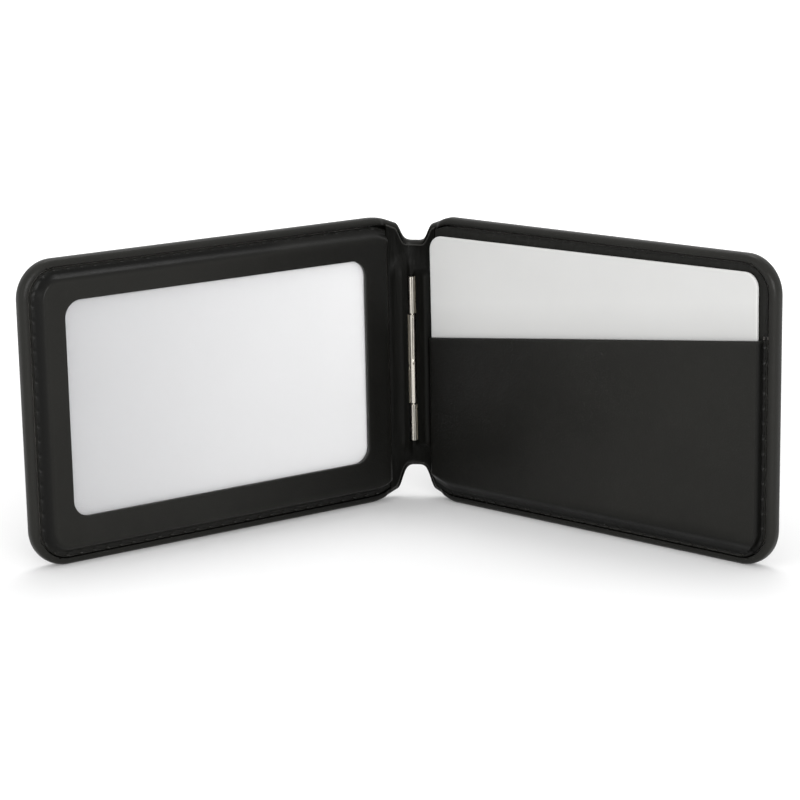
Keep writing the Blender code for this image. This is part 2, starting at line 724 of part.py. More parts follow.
def lining_stations():
    """Across the spine: each place where the lining lies back, and where the hinge lifts it."""
    flap_start = LEAF_CUT + GLUE_LINE
    flap_bend = LEAF_BEND + LEAF_RAMP / 2
    flap_foot = flap_bend + LEAF_RAMP
    half = [((0, LINING_DEPTH), (flap_start, FLAP_DEPTH)),
            ((flap_bend / 2, LINING_DEPTH), (flap_bend, FLAP_DEPTH)),
            ((flap_foot, LINING_DEPTH), (flap_foot, LINING_DEPTH)),
            ((SPINE_EDGE, LINING_DEPTH), (SPINE_EDGE, LINING_DEPTH))]
    right = [(on_panel(*back, 1), on_panel(*lifted, 1)) for back, lifted in half]
    left = [(on_panel(*back, -1), on_panel(*lifted, -1)) for back, lifted in reversed(half)]
    turns = [HALF_TURN * share for share in (-0.5, 0, 0.5)]
    bottom = [Vector((LINING_DEPTH * math.sin(t), LINING_DEPTH * math.cos(t), 0)) for t in turns]
    return left + [(place, place) for place in bottom] + right, len(left)


def spine_lining(spine):
    """Lining across the spine: it lies back at the ends, and covers the leaves beside the barrel."""
    stations, slot_start = lining_stations()
    slot_columns = range(slot_start - 1, slot_start + 3)
    low, high = leaf_heights()
    lifted_low, lifted_high = low - GAP, high + GAP
    ease = NOTCH_HALF_WIDTH / 2
    width = stations[-1][0].x
    shape = bmesh.new()
    grid = []
    for back, lifted in stations:
        rise = notch_rise(back.x, width)
        rows = [(rise, back), (lifted_low - ease, back), (lifted_low, lifted), (lifted_high, lifted),
                (lifted_high + ease, back), (PANEL_HEIGHT - rise, back)]
        grid.append([shape.verts.new((place.x, place.y, height)) for height, place in rows])
    for column in range(len(grid) - 1):
        for row in range(len(grid[0]) - 1):
            if row in (1, 2, 3) and column in slot_columns:
                continue
            shape.faces.new((grid[column][row], grid[column + 1][row],
                             grid[column + 1][row + 1], grid[column][row + 1]))
    loose = [corner for corner in shape.verts if not corner.link_faces]
    bmesh.ops.delete(shape, geom=loose, context="VERTS")
    piece = make_object("spine_lining", shape, leather(), spine, smooth=True)
    thicken(piece, LINING)


def build():
    clear_scene()
    spine = empty_at("spine", (0, HINGE_Y, 0), 0)
    pocket_panel = empty_at("pocket_panel", (0, HINGE_Y, 0), -HALF_TURN)
    cover_panel = empty_at("cover_panel", (0, HINGE_Y, 0), HALF_TURN)

    back_leather("pocket_back_leather", 1, pocket_panel)
    foam_pad("pocket_foam_pad", 1, pocket_panel)
    magnet_board = stiffener_board("pocket_board", 1, pocket_panel)
    magnet_array(magnet_board, pocket_panel)
    closure_magnets("pocket", 1, pocket_panel)
    pocket_lining(pocket_panel)
    pocket_leather(pocket_panel)
    rivets("pocket", 1, pocket_panel)
    seam_thread("pocket_seam_thread", 1, pocket_panel, MOUTH_AT_FREE_END)
    card(pocket_panel)

    back_leather("cover_back_leather", -1, cover_panel)
    foam_pad("cover_foam_pad", -1, cover_panel)
    stiffener_board("cover_board", -1, cover_panel)
    closure_magnets("cover", -1, cover_panel)
    window_insert(cover_panel)
    window_film(cover_panel)
    window_frame(cover_panel)
    rivets("cover", -1, cover_panel)
    seam_thread("cover_seam_thread", -1, cover_panel, PANEL_HEIGHT)

    hinge(pocket_panel, cover_panel)
    spine_leather(spine)
    spine_lining(spine)


build()
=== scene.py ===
"""Dresses the magnetic phone wallet: leather, lining, stitches, metal, card and window, and the studio."""
import json
import math

import bmesh
import bpy
from mathutils import Matrix, Vector, kdtree, noise
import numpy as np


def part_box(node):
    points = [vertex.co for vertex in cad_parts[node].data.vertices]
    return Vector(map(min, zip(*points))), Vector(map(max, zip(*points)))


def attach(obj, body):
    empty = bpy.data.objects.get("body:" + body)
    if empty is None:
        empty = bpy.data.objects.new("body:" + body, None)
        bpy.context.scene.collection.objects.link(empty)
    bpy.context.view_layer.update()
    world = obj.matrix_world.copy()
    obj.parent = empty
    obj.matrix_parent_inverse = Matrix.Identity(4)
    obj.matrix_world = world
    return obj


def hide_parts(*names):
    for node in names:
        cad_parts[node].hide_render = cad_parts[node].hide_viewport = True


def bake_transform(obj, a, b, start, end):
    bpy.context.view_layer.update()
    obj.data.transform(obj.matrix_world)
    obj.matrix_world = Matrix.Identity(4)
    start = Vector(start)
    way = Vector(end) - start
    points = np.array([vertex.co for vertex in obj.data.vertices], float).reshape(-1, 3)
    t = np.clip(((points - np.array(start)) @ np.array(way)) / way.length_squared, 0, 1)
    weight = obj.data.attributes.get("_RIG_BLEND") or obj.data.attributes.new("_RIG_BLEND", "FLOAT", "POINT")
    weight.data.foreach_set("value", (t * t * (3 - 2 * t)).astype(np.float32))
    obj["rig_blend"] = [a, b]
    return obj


bl_info = {
    "name": "Magnetic Phone Wallet",
    "version": (1, 0, 0),
    "blender": (4, 5, 0),
    "location": "3D View > Sidebar > Wallet",
    "description": "Builds the leather, stitching and finishes of a hinged phone wallet",
    "category": "Object",
}

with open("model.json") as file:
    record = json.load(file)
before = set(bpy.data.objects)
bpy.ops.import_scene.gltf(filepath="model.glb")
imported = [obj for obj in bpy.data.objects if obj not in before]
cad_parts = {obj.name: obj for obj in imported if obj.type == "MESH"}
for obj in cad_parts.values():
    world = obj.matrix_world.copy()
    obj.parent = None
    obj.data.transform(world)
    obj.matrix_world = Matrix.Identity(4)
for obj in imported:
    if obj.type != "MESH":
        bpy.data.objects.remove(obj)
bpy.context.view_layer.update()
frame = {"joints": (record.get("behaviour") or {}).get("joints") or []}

POCKET = "pocket_panel"
COVER = "cover_panel"
SIDES = {POCKET: 1, COVER: -1}
HINGE = Vector((*frame["joints"][0]["pos_m"][:2], 0))
HALF_TURN = (math.pi - math.radians(frame["joints"][0]["range_deg"][1])) / 2
PANEL_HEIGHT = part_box("pocket_back_leather")[1][2]
HINGE_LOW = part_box("hinge_leaf_pocket_side")[0][2]
HINGE_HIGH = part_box("hinge_leaf_pocket_side")[1][2]
TINY = 1e-6


def length(name, metres, description):
    """A length that the user may change."""
    return bpy.props.FloatProperty(name=name, description=description, default=metres, min=0.0,
                                   subtype="DISTANCE", unit="LENGTH", precision=5)


def lengths(name, metres, description):
    """Two lengths that belong together."""
    return bpy.props.FloatVectorProperty(name=name, description=description, default=metres, size=2,
                                         min=0.0, unit="LENGTH", precision=5)


def factor(name, value, description):
    """A share from 0 to 1 that the user may change."""
    return bpy.props.FloatProperty(name=name, description=description, default=value, min=0.0, max=1.0,
                                   subtype="FACTOR")


def angle(name, degrees, description):
    """A small angle that the user may change."""
    return bpy.props.FloatProperty(name=name, description=description, default=math.radians(degrees),
                                   min=0.0, max=0.5, subtype="ANGLE", unit="ROTATION")


def colour(name, value, description):
    """A colour that the user may change."""
    return bpy.props.FloatVectorProperty(name=name, description=description, default=value, size=3,
                                         subtype="COLOR", min=0.0, max=1.0)


class WalletSizes(bpy.types.PropertyGroup):
    """Sizes of the panels; across runs from the hinge axis, and depth from the closing plane.

    Of two lengths, the first is for the bottom edge and the second for the top edge."""
    panel_reach: length("Panel Reach", 0.0938, "From the hinge axis to a panel's free end")
    panel_start: length("Panel Start", 0.0054, "From the hinge axis to a panel's front leather")
    front: length("Front", 0.00015, "Depth of the front leather's face")
    rim_front: length("Rim Front", 0.00205, "Depth of the rolled rim's front")
    back_inner: length("Back Inner", 0.00455, "Depth of the outer leather's inside")
    panel_back: length("Panel Back", 0.00545, "Depth of the outer leather's outside")
    frame_leather: length("Frame Leather", 0.0009, "Thickness of the window frame's leather")
    pocket_leather: length("Pocket Leather", 0.0007, "Thickness of the pocket's leather")
    seam_leather: length("Seam Leather", 0.0004, "Thickness of the stitched strip")
    rim_width: length("Rim Width", 0.0015, "Width of the rolled rim")
    rim_round: length("Rim Round", 0.0013, "Radius of the rolled rim")
    rim_fade: length("Rim Fade", 0.0016, "Stretch over which the rim sinks beside the spine")
    spine_width: factor("Spine Width", 0.5, "0 bends the rim tight round the hinge and 1 bends it wide")
    spine_rim_front: length("Spine Rim Front", 0.00243, "Depth of the rim behind the spine's lining")
    pocket_start: length("Pocket Start", 0.00455, "From the hinge axis to the pocket's folded edge")
    pocket_wall: length("Pocket Wall", 0.00028, "Thickness of the pocket's folded edge")
    seam_edge: length("Seam Edge", 0.0018, "From the panel's edge to the front leather's edge")
    seam_width: length("Seam Width", 0.0008, "Width of the stitched strip")
    seam_depth: length("Seam Depth", 0.00195, "Depth of the stitched strip")
    leather_edge: length("Leather Edge", 0.00015, "Rounding of a front leather's sewn edge")
    inside_shift: length("Inside Shift", 0.0003, "How far a slope's inside lies from its outside")
    frame_slope: length("Frame Slope", 0.0016, "Width of the slope round the window's frame")
    frame_end_round: length("Frame End Round", 0.0012, "Radius of the frame's edge by the spine")
    pocket_slope: length("Pocket Slope", 0.0004, "Width of the steep slope beside the pocket")
    pocket_floor_slope: length("Pocket Floor Slope", 0.0029, "Width of the slope under the pocket")
    free_corner: length("Free Corner", 0.008, "Radius of the panel's free corners")
    shoulders: lengths("Shoulders", (0.0026, 0.0023), "How far an edge draws in beside its notch")
    shoulder_start: length("Shoulder Start", 0.002, "From the spine's middle to where the shoulder falls off")
    shoulder_end: length("Shoulder End", 0.01, "From the spine's middle to where the long edge is straight")
    notch_reach: length("Notch Reach", 0.0046, "From the spine's middle to the foot of the notch")
    notches: lengths("Notches", (0.0072, 0.00575), "From an edge's line to the end of its notch")
    notch_leans: lengths("Notch Leans", (0.00045, 0.00085), "How far a notch lies off the middle")
    notch_views: lengths("Notch Views", (0.0036, 0.0045), "Depth of the edge that a notch is measured on")
    spine_edge: length("Spine Edge", 0.0051, "From the hinge axis to where the spine leather bends")
    pad_start: length("Pad Start", 0.0057, "From the hinge axis to the foam pads")
    pad_front: length("Pad Front", 0.0039, "Depth of the foam pads' front")
    pad_back: length("Pad Back", 0.0044, "Depth of the foam pads' back")


class WalletOpenings(bpy.types.PropertyGroup):
    """Window of the cover, mouth of the pocket and lining.

    Of two lengths for the flaps, the first is for the left one and the second for the right one."""
    window_from_hinge: length("Window From Hinge", 0.0119, "From the hinge axis to the window")
    window_from_free_end: length("Window From Free End", 0.0088, "From the window to the free end")
    window_from_top: length("Window From Top", 0.0085, "From the window to the top edge")
    window_from_bottom: length("Window From Bottom", 0.0102, "From the window to the bottom edge")
    window_corner: length("Window Corner", 0.0036, "Radius of the window's corners")
    window_cut_round: length("Window Cut Round", 0.00022, "Rounding of the window's cut edge")
    mouth_drops: lengths("Mouth Drops", (0.0267, 0.0164), "From the top to the mouth, inside and outside")
    mouth_round: length("Mouth Round", 0.0003, "Rounding of the mouth's folded edge")
    lining_front: length("Lining Front", 0.00205, "Depth of the lining's face")
    lining: length("Lining", 0.0003, "Thickness of the lining")
    flap_depth: length("Flap Depth", 0.000225, "Depth of the lining where it covers the hinge")
    flap_start: length("Flap Start", 0.0011, "From the hinge axis to the lining's slot")
    flap_bends: lengths("Flap Bends", (0.0023, 0.0034), "From the axis to where a flap falls back")
    flap_feet: lengths("Flap Feet", (0.0048, 0.0046), "From the axis to where a flap lies back")
    flap_eases: lengths("Flap Eases", (0.005, 0.0016), "Stretch over which a flap rises at its ends")
    slot_play: length("Slot Play", 0.0002, "From the barrel's end to the slot's end")
    lining_inset: length("Lining Inset", 0.0009, "From the notch's edge to the lining's edge")
    lining_lip: length("Lining Lip", 0.0001, "How far the lining's folded edge stands up")
    lining_settle: length("Lining Settle", 0.0045, "Stretch over which the lining leaves the rim")


class WalletHinge(bpy.types.PropertyGroup):
    """Hinge and card."""
    knuckle: length("Knuckle", 0.00075, "Radius of the knuckles")
    bore: length("Bore", 0.0004, "Radius of the pin's bore")
    knuckle_round: length("Knuckle Round", 0.00006, "Softening of a knuckle's ends")
    groove: length("Groove", 0.0001, "Depth of the seam where a knuckle's sheet closes")
    groove_reach: length("Groove Reach", 0.00014, "Half the width of that seam")
    groove_turn: angle("Groove Turn", 9, "From the knuckle's front to that seam")
    pit_turn: angle("Pit Turn", 16, "From the middle knuckle's front to its pit")
    pit_drop: length("Pit Drop", 0.001, "From the barrel's middle down to the pit")
    knuckle_gap: length("Knuckle Gap", 0.0003, "Between two knuckles")
    middle_knuckle: length("Middle Knuckle", 0.02, "Length of the middle knuckle")
    leaf: length("Leaf", 0.0003, "Thickness of a leaf")
    leaf_depth_at_barrel: length("Leaf Depth At Barrel", 0.0006, "Depth of the leaf's middle at the barrel")
    leaf_depth_in_panel: length("Leaf Depth In Panel", 0.00305, "Depth of the leaf's middle in the panel")
    leaf_cut: length("Leaf Cut", 0.00105, "From the axis to the leaf beside the other leaf's knuckles")
    leaf_bend: length("Leaf Bend", 0.00245, "From the axis to where the leaf turns back")
    leaf_foot: length("Leaf Foot", 0.0032, "From the axis to where the leaf lies on the board")
    leaf_end: length("Leaf End", 0.011, "From the axis to the leaf's end")
    rivet_across: length("Rivet Across", 0.0096, "From the axis to the rivets")
    rivet_edge: length("Rivet Edge", 0.005, "From the leaf's end to the outer rivets")
    rivet_hole: length("Rivet Hole", 0.00065, "Radius of a rivet's hole")
    card_length: length("Card Length", 0.0856, "Length of the card")
    card_height: length("Card Height", 0.05398, "Height of the card")
    card_thickness: length("Card Thickness", 0.0008, "Thickness of the card")
    card_corner: length("Card Corner", 0.00318, "Radius of the card's corners")
    card_round: length("Card Round", 0.0002, "Softening of the card's edges")
    card_from_hinge: length("Card From Hinge", 0.0049, "From the hinge axis to the card's lower corner")
    card_floor: length("Card Floor", 0.0059, "From the bottom edge to the card's lower corner")
    card_front: length("Card Front", 0.00105, "Depth of the card's face")
    card_tilt: angle("Card Tilt", 0.5, "How far the card leans in its pocket")


class WalletStitching(bpy.types.PropertyGroup):
    """Sewing of the panels."""
    pitch: length("Pitch", 0.0031, "From stitch to stitch")
    stitch: length("Stitch", 0.0023, "Length of one stitch")
    thread_radius: length("Thread Radius", 0.0002, "Radius of the thread")
    start: length("Start", 0.009, "From the hinge axis to the first stitch")
    hole_depth: length("Hole Depth", 0.0003, "How deep the needle holes sink in")
    hole_reach: length("Hole Reach", 0.00065, "Reach of one needle hole's dimple")
    valley_depth: length("Valley Depth", 0.00012, "How far the seam is pulled in")


class WalletColours(bpy.types.PropertyGroup):
    """Colours of the finishes."""
    leather: colour("Leather", (0.0125, 0.0123, 0.0108), "Black leather")
    # Deep Leather is painted shade, for the spine's fold and the slopes beside the seams.
    leather_painted_shade: colour("Deep Leather", (0.0028, 0.0028, 0.0024), "The same in folds and along seams")
    # Worn Leather lightens rubbed edges: partly wear, partly a painted highlight.
    leather_wear_and_highlight: colour("Worn Leather", (0.021, 0.0206, 0.0185), "Black leather where it is rubbed")
    cut_leather: colour("Cut Leather", (0.05, 0.05, 0.047), "Cut edge of the leather")
    # The two linings are one black lining in two tones: the spine's is painted darker as shade in its fold,
    # the pocket's painted paler as light from above.
    lining: colour("Lining", (0.0045, 0.0045, 0.0038), "Black lining")
    pocket_lining: colour("Pocket Lining", (0.016, 0.016, 0.0145), "Black lining behind the card")
    # Lining Edge is a painted highlight along the spine lining's folded edge.
    lining_edge_highlight: colour("Lining Edge", (0.06, 0.059, 0.055), "Folded edge of the spine's lining")
    thread: colour("Thread", (0.0025, 0.0025, 0.0023), "Black thread")
    nickel: colour("Nickel", (0.58, 0.55, 0.49), "Hinge metal")
    magnet: colour("Magnet", (0.55, 0.55, 0.56), "Magnets")
    shield: colour("Shield", (0.42, 0.43, 0.44), "Steel ring")
    board: colour("Board", (0.16, 0.15, 0.14), "Stiff board")
    foam: colour("Foam", (0.09, 0.09, 0.09), "Foam pad")
    card: colour("Card", (0.65, 0.65, 0.64), "Blank card")
    # The fade from Insert Grey to Insert is painted light, brighter towards the hinge.
    insert: colour("Insert", (0.93, 0.93, 0.935), "Blank insert of the window, by the hinge")
    insert_shaded_end: colour("Insert Grey", (0.47, 0.47, 0.48), "The same by the free end")
    film: colour("Film", (0.9, 0.9, 0.91), "Clear film")
    floor: colour("Floor", (0.8, 0.8, 0.8), "Studio floor")


def sizes():
    return bpy.context.scene.wallet_sizes


def openings():
    return bpy.context.scene.wallet_openings


def hinge_sizes():
    return bpy.context.scene.wallet_hinge


def stitching():
    return bpy.context.scene.wallet_stitching


def colours():
    return bpy.context.scene.wallet_colours


# Places on a panel. Flat pieces are first laid out with x across, y as depth and z as height.

def eased(share):
    """A share from 0 to 1, eased at both ends."""
    share = max(0.0, min(1.0, share))
    return share * share * (3 - 2 * share)


def mixed(first, second, share):
    return first + (second - first) * share


def spine_arc(depth):
    """Radius and centre of the spine's arc at a depth; it meets both panels smoothly."""
    edge = sizes().spine_edge
    return edge / math.tan(HALF_TURN) + depth, -edge / math.sin(HALF_TURN)


def notch_shape(away, shoulder, deepest):
    """How far a long edge draws in, by the distance from the notch's middle."""
    size = sizes()
    fall = eased((away - size.shoulder_start) / (size.shoulder_end - size.shoulder_start))
    inside = (1 - min(1.0, away / size.notch_reach) ** 4) ** 2.5
    return shoulder * (1 - fall) + (deepest - shoulder) * inside


def edge_rises(place, inset=0.0):
    """How far the bottom and top edges draw in, by the place across.

    Up to the spine's edge the place is measured round the spine, and beyond it along the panel."""
    size = sizes()
    side = 1 if place > 0 else -1
    beside = abs(place) / size.spine_edge
    leaning = 1 - eased(beside - 1)
    found = []
    for depth, shoulder, deepest, lean in zip(size.notch_views, size.shoulders,
                                              size.notches, size.notch_leans):
        if beside < 1:
            x = spine_arc(depth)[0] * math.sin(HALF_TURN * beside)
        else:
            x = abs(place) * math.cos(HALF_TURN) + depth * math.sin(HALF_TURN)
        away = max(0.0, abs(side * x - lean * leaning) - inset)
        found.append(notch_shape(away, shoulder, deepest) + inset)
    return found


def drawn_in(height, rises):
    """The height of a place once the long edges are drawn in; the panel's middle stays."""
    reach = PANEL_HEIGHT / 3
    low, high = rises
    if height < PANEL_HEIGHT / 2:
        return height + low * (1 - eased(height / reach))
    return height - high * (1 - eased((PANEL_HEIGHT - height) / reach))


def edge_distance(across, height):
    """How far a place of the flat layout lies inside its panel's free, top and bottom edges."""
    near_long_edge = min(height, PANEL_HEIGHT - height)
    near_end = sizes().panel_reach - across
    corner = sizes().free_corner
    if near_long_edge < corner and near_end < corner:
        return corner - math.hypot(corner - near_long_edge, corner - near_end)
    return min(near_long_edge, near_end)


def rounded_off(distance, radius):
    """How far a rounded edge falls away, by the distance from it."""
    if distance >= radius:
        return 0.0
    left = radius - max(0.0, distance)
    return radius - math.sqrt(max(0.0, radius * radius - left * left))


def on_panel(side, across, depth, height):
    """A panel's own place, in the row frame with the wallet as it stands."""
    x = across * math.cos(HALF_TURN) + depth * math.sin(HALF_TURN)
    y = depth * math.cos(HALF_TURN) - across * math.sin(HALF_TURN)
    return Vector((side * x, y, height)) + HINGE


def round_spine(turn, depth, height):
    """A place on the spine's arc, by the angle from its middle."""
    radius, centre = spine_arc(depth)
    return Vector((radius * math.sin(turn), centre + radius * math.cos(turn), height)) + HINGE


def waviness(across, height, scale, amount):
    """A slow unevenness of the leather, from 0 to the amount."""
    return amount * (0.5 + 0.5 * noise.noise(Vector((across / scale, height / scale, amount / TINY))))


# Mesh helpers

def flat_rectangle(start, end, low, high):
    """One flat face, with x across, y as depth and z as height, and layers for its wear and painted highlight
    and for its painted shade.
    """
    shape = bmesh.new()
    # The 'rubbed' layer holds wear and a painted highlight; the 'folded' layer holds painted shade.
    shape.verts.layers.float.new("rubbed")
    shape.verts.layers.float.new("folded")
    bmesh.ops.create_grid(shape, x_segments=1, y_segments=1, size=0.5)
    bmesh.ops.rotate(shape, verts=shape.verts, cent=(0, 0, 0), matrix=Matrix.Rotation(math.pi / 2, 3, "X"))
    bmesh.ops.scale(shape, verts=shape.verts, vec=(end - start, 1, high - low))
    bmesh.ops.translate(shape, verts=shape.verts, vec=((start + end) / 2, 0, (low + high) / 2))
    return shape


def round_corners(shape, corners, radius, spacing):
    """Rounds the corners of a flat face that lie at these (across, height) places."""
    chosen = [corner for corner in shape.verts
              if any(math.dist((corner.co.x, corner.co.z), place) < TINY for place in corners)]
    steps = math.ceil(radius * math.pi / 2 / spacing)
    bmesh.ops.bevel(shape, geom=chosen, offset=radius, offset_type="OFFSET", affect="VERTICES",
                    segments=steps, profile=0.5, material=-1)


def split_edges(shape, edges, spacing):
    """Splits edges so that none is longer than the spacing."""
    for edge in list(edges):
        cuts = int(edge.calc_length() / spacing)
        if cuts:
            bmesh.ops.subdivide_edges(shape, edges=[edge], cuts=cuts)


def largest_face(shape):
    return max(shape.faces, key=lambda face: face.calc_area())


def inset_rings(shape, face, steps):
    """Insets a face by one step after another, and leaves a ring of faces for each."""
    for step in steps:
        bmesh.ops.inset_region(shape, faces=[face], thickness=step, depth=0, use_boundary=True,
                               use_even_offset=True)


def ring_inside(shape, face):
    """Adds a ring of faces inside a face, at first without a width."""
    ring = bmesh.ops.inset_region(shape, faces=[face], thickness=0, depth=0, use_boundary=True)
    return set(ring["faces"])


def clear_faces(shape, unwanted):
    """Deletes the faces whose middle is unwanted, by its across and height."""
    middles = [(face, face.calc_center_median()) for face in shape.faces]
    chosen = [face for face, middle in middles if unwanted(middle.x, middle.z)]
    bmesh.ops.delete(shape, geom=chosen, context="FACES")


def slice_at(shape, place, normal, keep="both"):
    """Cuts all faces along a plane; the part that the normal points to may be cleared."""
    bmesh.ops.bisect_plane(shape, geom=[*shape.verts, *shape.edges, *shape.faces], dist=TINY / 10,
                           plane_co=place, plane_no=normal, clear_outer=keep == "inner")


def slice_across(shape, places):
    for across in places:
        slice_at(shape, (across, 0, 0), (1, 0, 0))


def slice_upright(shape, heights):
    for height in heights:
        slice_at(shape, (0, 0, height), (0, 0, 1))


def spread(start, end, spacing):
    """Even places from start to end, both left out."""
    count = max(1, math.ceil((end - start) / spacing))
    return [start + (end - start) * step / count for step in range(1, count)]


def both_layers(shape, first_inside=False):
    """Adds a second layer behind a sheet, joined to it by walls.

    Returns each corner with its across, its height and whether it is on the inside."""
    first = list(shape.verts)
    grown = bmesh.ops.extrude_face_region(shape, geom=list(shape.faces), use_keep_orig=True)
    second = [part for part in grown["geom"] if isinstance(part, bmesh.types.BMVert)]
    return [(corner, corner.co.x, corner.co.z, inside)
            for corners, inside in ((first, first_inside), (second, not first_inside)) for corner in corners]


def thicken(shape, thickness):
    """Gives an open surface a wall that lies evenly on both of its sides."""
    bmesh.ops.recalc_face_normals(shape, faces=shape.faces)
    shape.normal_update()
    away = [corner.normal * corner.calc_shell_factor() for corner in shape.verts]
    for corner, step in zip(shape.verts, away):
        corner.co += step * thickness / 2
    bmesh.ops.solidify(shape, geom=list(shape.faces), thickness=thickness)


def as_piece(name, shape, materials, smooth_angle=40):
    """Turns a bmesh in the row frame into an object with its materials."""
    bmesh.ops.remove_doubles(shape, verts=shape.verts, dist=TINY)
    bmesh.ops.recalc_face_normals(shape, faces=shape.faces)
    mesh = bpy.data.meshes.new(name)
    shape.to_mesh(mesh)
    shape.free()
    for material in materials:
        mesh.materials.append(material)
    mesh.shade_smooth()
    mesh.set_sharp_from_angle(angle=math.radians(smooth_angle))
    piece = bpy.data.objects.new(name, mesh)
    bpy.context.collection.objects.link(piece)
    return piece


def put_on_panel(corners, side):
    """Moves corners of a flat layout to their panel in the row frame."""
    for corner in corners:
        corner.co = on_panel(side, *corner.co)


# Seams

def seam_route():
    """A panel's seam: its whole length, and a function from the distance along it to a place."""
    size, sewing = sizes(), stitching()
    line = size.seam_edge + size.seam_width / 2
    corner = size.free_corner - line
    end = size.panel_reach - line
    straight = end - corner - sewing.start
    bend = corner * math.pi / 2
    upright = PANEL_HEIGHT - 2 * (line + corner)
    total = 2 * (straight + bend) + upright

    def flat_place(distance):
        if distance > total / 2:
            across, height, turn = flat_place(total - distance)
            return across, PANEL_HEIGHT - height, math.pi - turn
        if distance < straight:
            return sewing.start + distance, line, 0.0
        if distance < straight + bend:
            turn = (distance - straight) / corner
            return end - corner + corner * math.sin(turn), line + corner - corner * math.cos(turn), turn
        return end, line + corner + distance - straight - bend, math.pi / 2

    def place(distance):
        across, height, turn = flat_place(distance)
        return across, drawn_in(height, edge_rises(across)), turn

    return total, place


def needle_holes():
    """Places of the needle holes, as a tree that finds the nearest."""
    total, place = seam_route()
    count = round(total / stitching().pitch)
    holes = kdtree.KDTree(count + 1)
    for number in range(count + 1):
        across, height, _ = place(total * number / count)
        holes.insert((across, 0, height), number)
    holes.balance()
    return holes


def seam_pull(across, height, holes):
    """How deep the thread pulls the leather in along the seam and at each needle hole."""
    size, sewing = sizes(), stitching()
    edge = edge_distance(across, height)
    off_line = abs(edge - size.seam_edge - size.seam_width / 2) / (size.seam_width / 2)
    pull = sewing.valley_depth * (1 - eased(off_line)) if across > sewing.start else 0.0
    _, _, distance = holes.find((across, 0, drawn_in(height, edge_rises(across))))
    return pull + sewing.hole_depth * (1 - eased(distance / sewing.hole_reach))


# Materials

class Nodes:
    """The nodes of a new material or world, with short ways to add them."""

    def __init__(self, block):
        block.use_nodes = True
        self.block = block
        self.tree = block.node_tree
        self.tree.nodes.clear()

    def add(self, kind, inputs=None, **settings):
        """Adds a node, sets its properties, and sets or links its inputs."""
        node = self.tree.nodes.new(kind)
        for name, value in settings.items():
            setattr(node, name, value)
        for name, value in (inputs or {}).items():
            if isinstance(value, bpy.types.NodeSocket):
                self.tree.links.new(value, node.inputs[name])
            else:
                node.inputs[name].default_value = value
        return node

    def place(self, scale=(1, 1, 1), turn=0.0):
        """Object coordinates in millimetres, scaled and turned."""
        return self.add("ShaderNodeMapping", {
            "Vector": self.add("ShaderNodeTexCoord").outputs["Object"], "Rotation": (0, 0, turn),
            "Scale": tuple(1000 * part for part in scale)}).outputs["Vector"]

    def axis(self, place, name):
        return self.add("ShaderNodeSeparateXYZ", {"Vector": place}).outputs[name]

    def attribute(self, name):
        return self.add("ShaderNodeAttribute", attribute_name=name).outputs["Fac"]

    def noise(self, place, scale, detail, roughness=0.5):
        return self.add("ShaderNodeTexNoise", {"Vector": place, "Scale": scale, "Detail": detail,
                                               "Roughness": roughness}).outputs["Fac"]

    def maths(self, operation, *values):
        return self.add("ShaderNodeMath", dict(enumerate(values)), operation=operation).outputs[0]

    def ramp(self, value, low, high, start=0.3, end=0.7):
        """A value mapped from start..end to low..high; a noise lies mostly from 0.3 to 0.7."""
        return self.add("ShaderNodeMapRange", {"Value": value, "From Min": start, "From Max": end,
                                               "To Min": low, "To Max": high}).outputs["Result"]

    def blend(self, share, first, second):
        """A colour between two, each of which is a colour or a socket."""
        ends = [end if isinstance(end, bpy.types.NodeSocket) else (*end, 1.0) for end in (first, second)]
        return self.add("ShaderNodeMix", {"Factor": share, 6: ends[0], 7: ends[1]},
                        data_type="RGBA").outputs[2]

    def bump(self, height, strength, distance, normal=None):
        inputs = {"Height": height, "Strength": strength, "Distance": distance}
        if normal is not None:
            inputs["Normal"] = normal
        return self.add("ShaderNodeBump", inputs).outputs["Normal"]

    def shaded(self, **inputs):
        """Ends in a Principled shader, with constants on its own sockets; returns the material."""
        shader = self.add("ShaderNodeBsdfPrincipled",
                          {name.replace("_", " "): value for name, value in inputs.items()})
        self.add("ShaderNodeOutputMaterial", {"Surface": shader.outputs["BSDF"]})
        return self.block


def new_material(name):
    return Nodes(bpy.data.materials.new(name))


def scaled(base, share):
    """A colour made darker or lighter."""
    return tuple(share * part for part in base)


GRAIN_SIZE = 0.45  # in millimetres, as the materials' coordinates
GRAIN_DEPTH = 0.00006


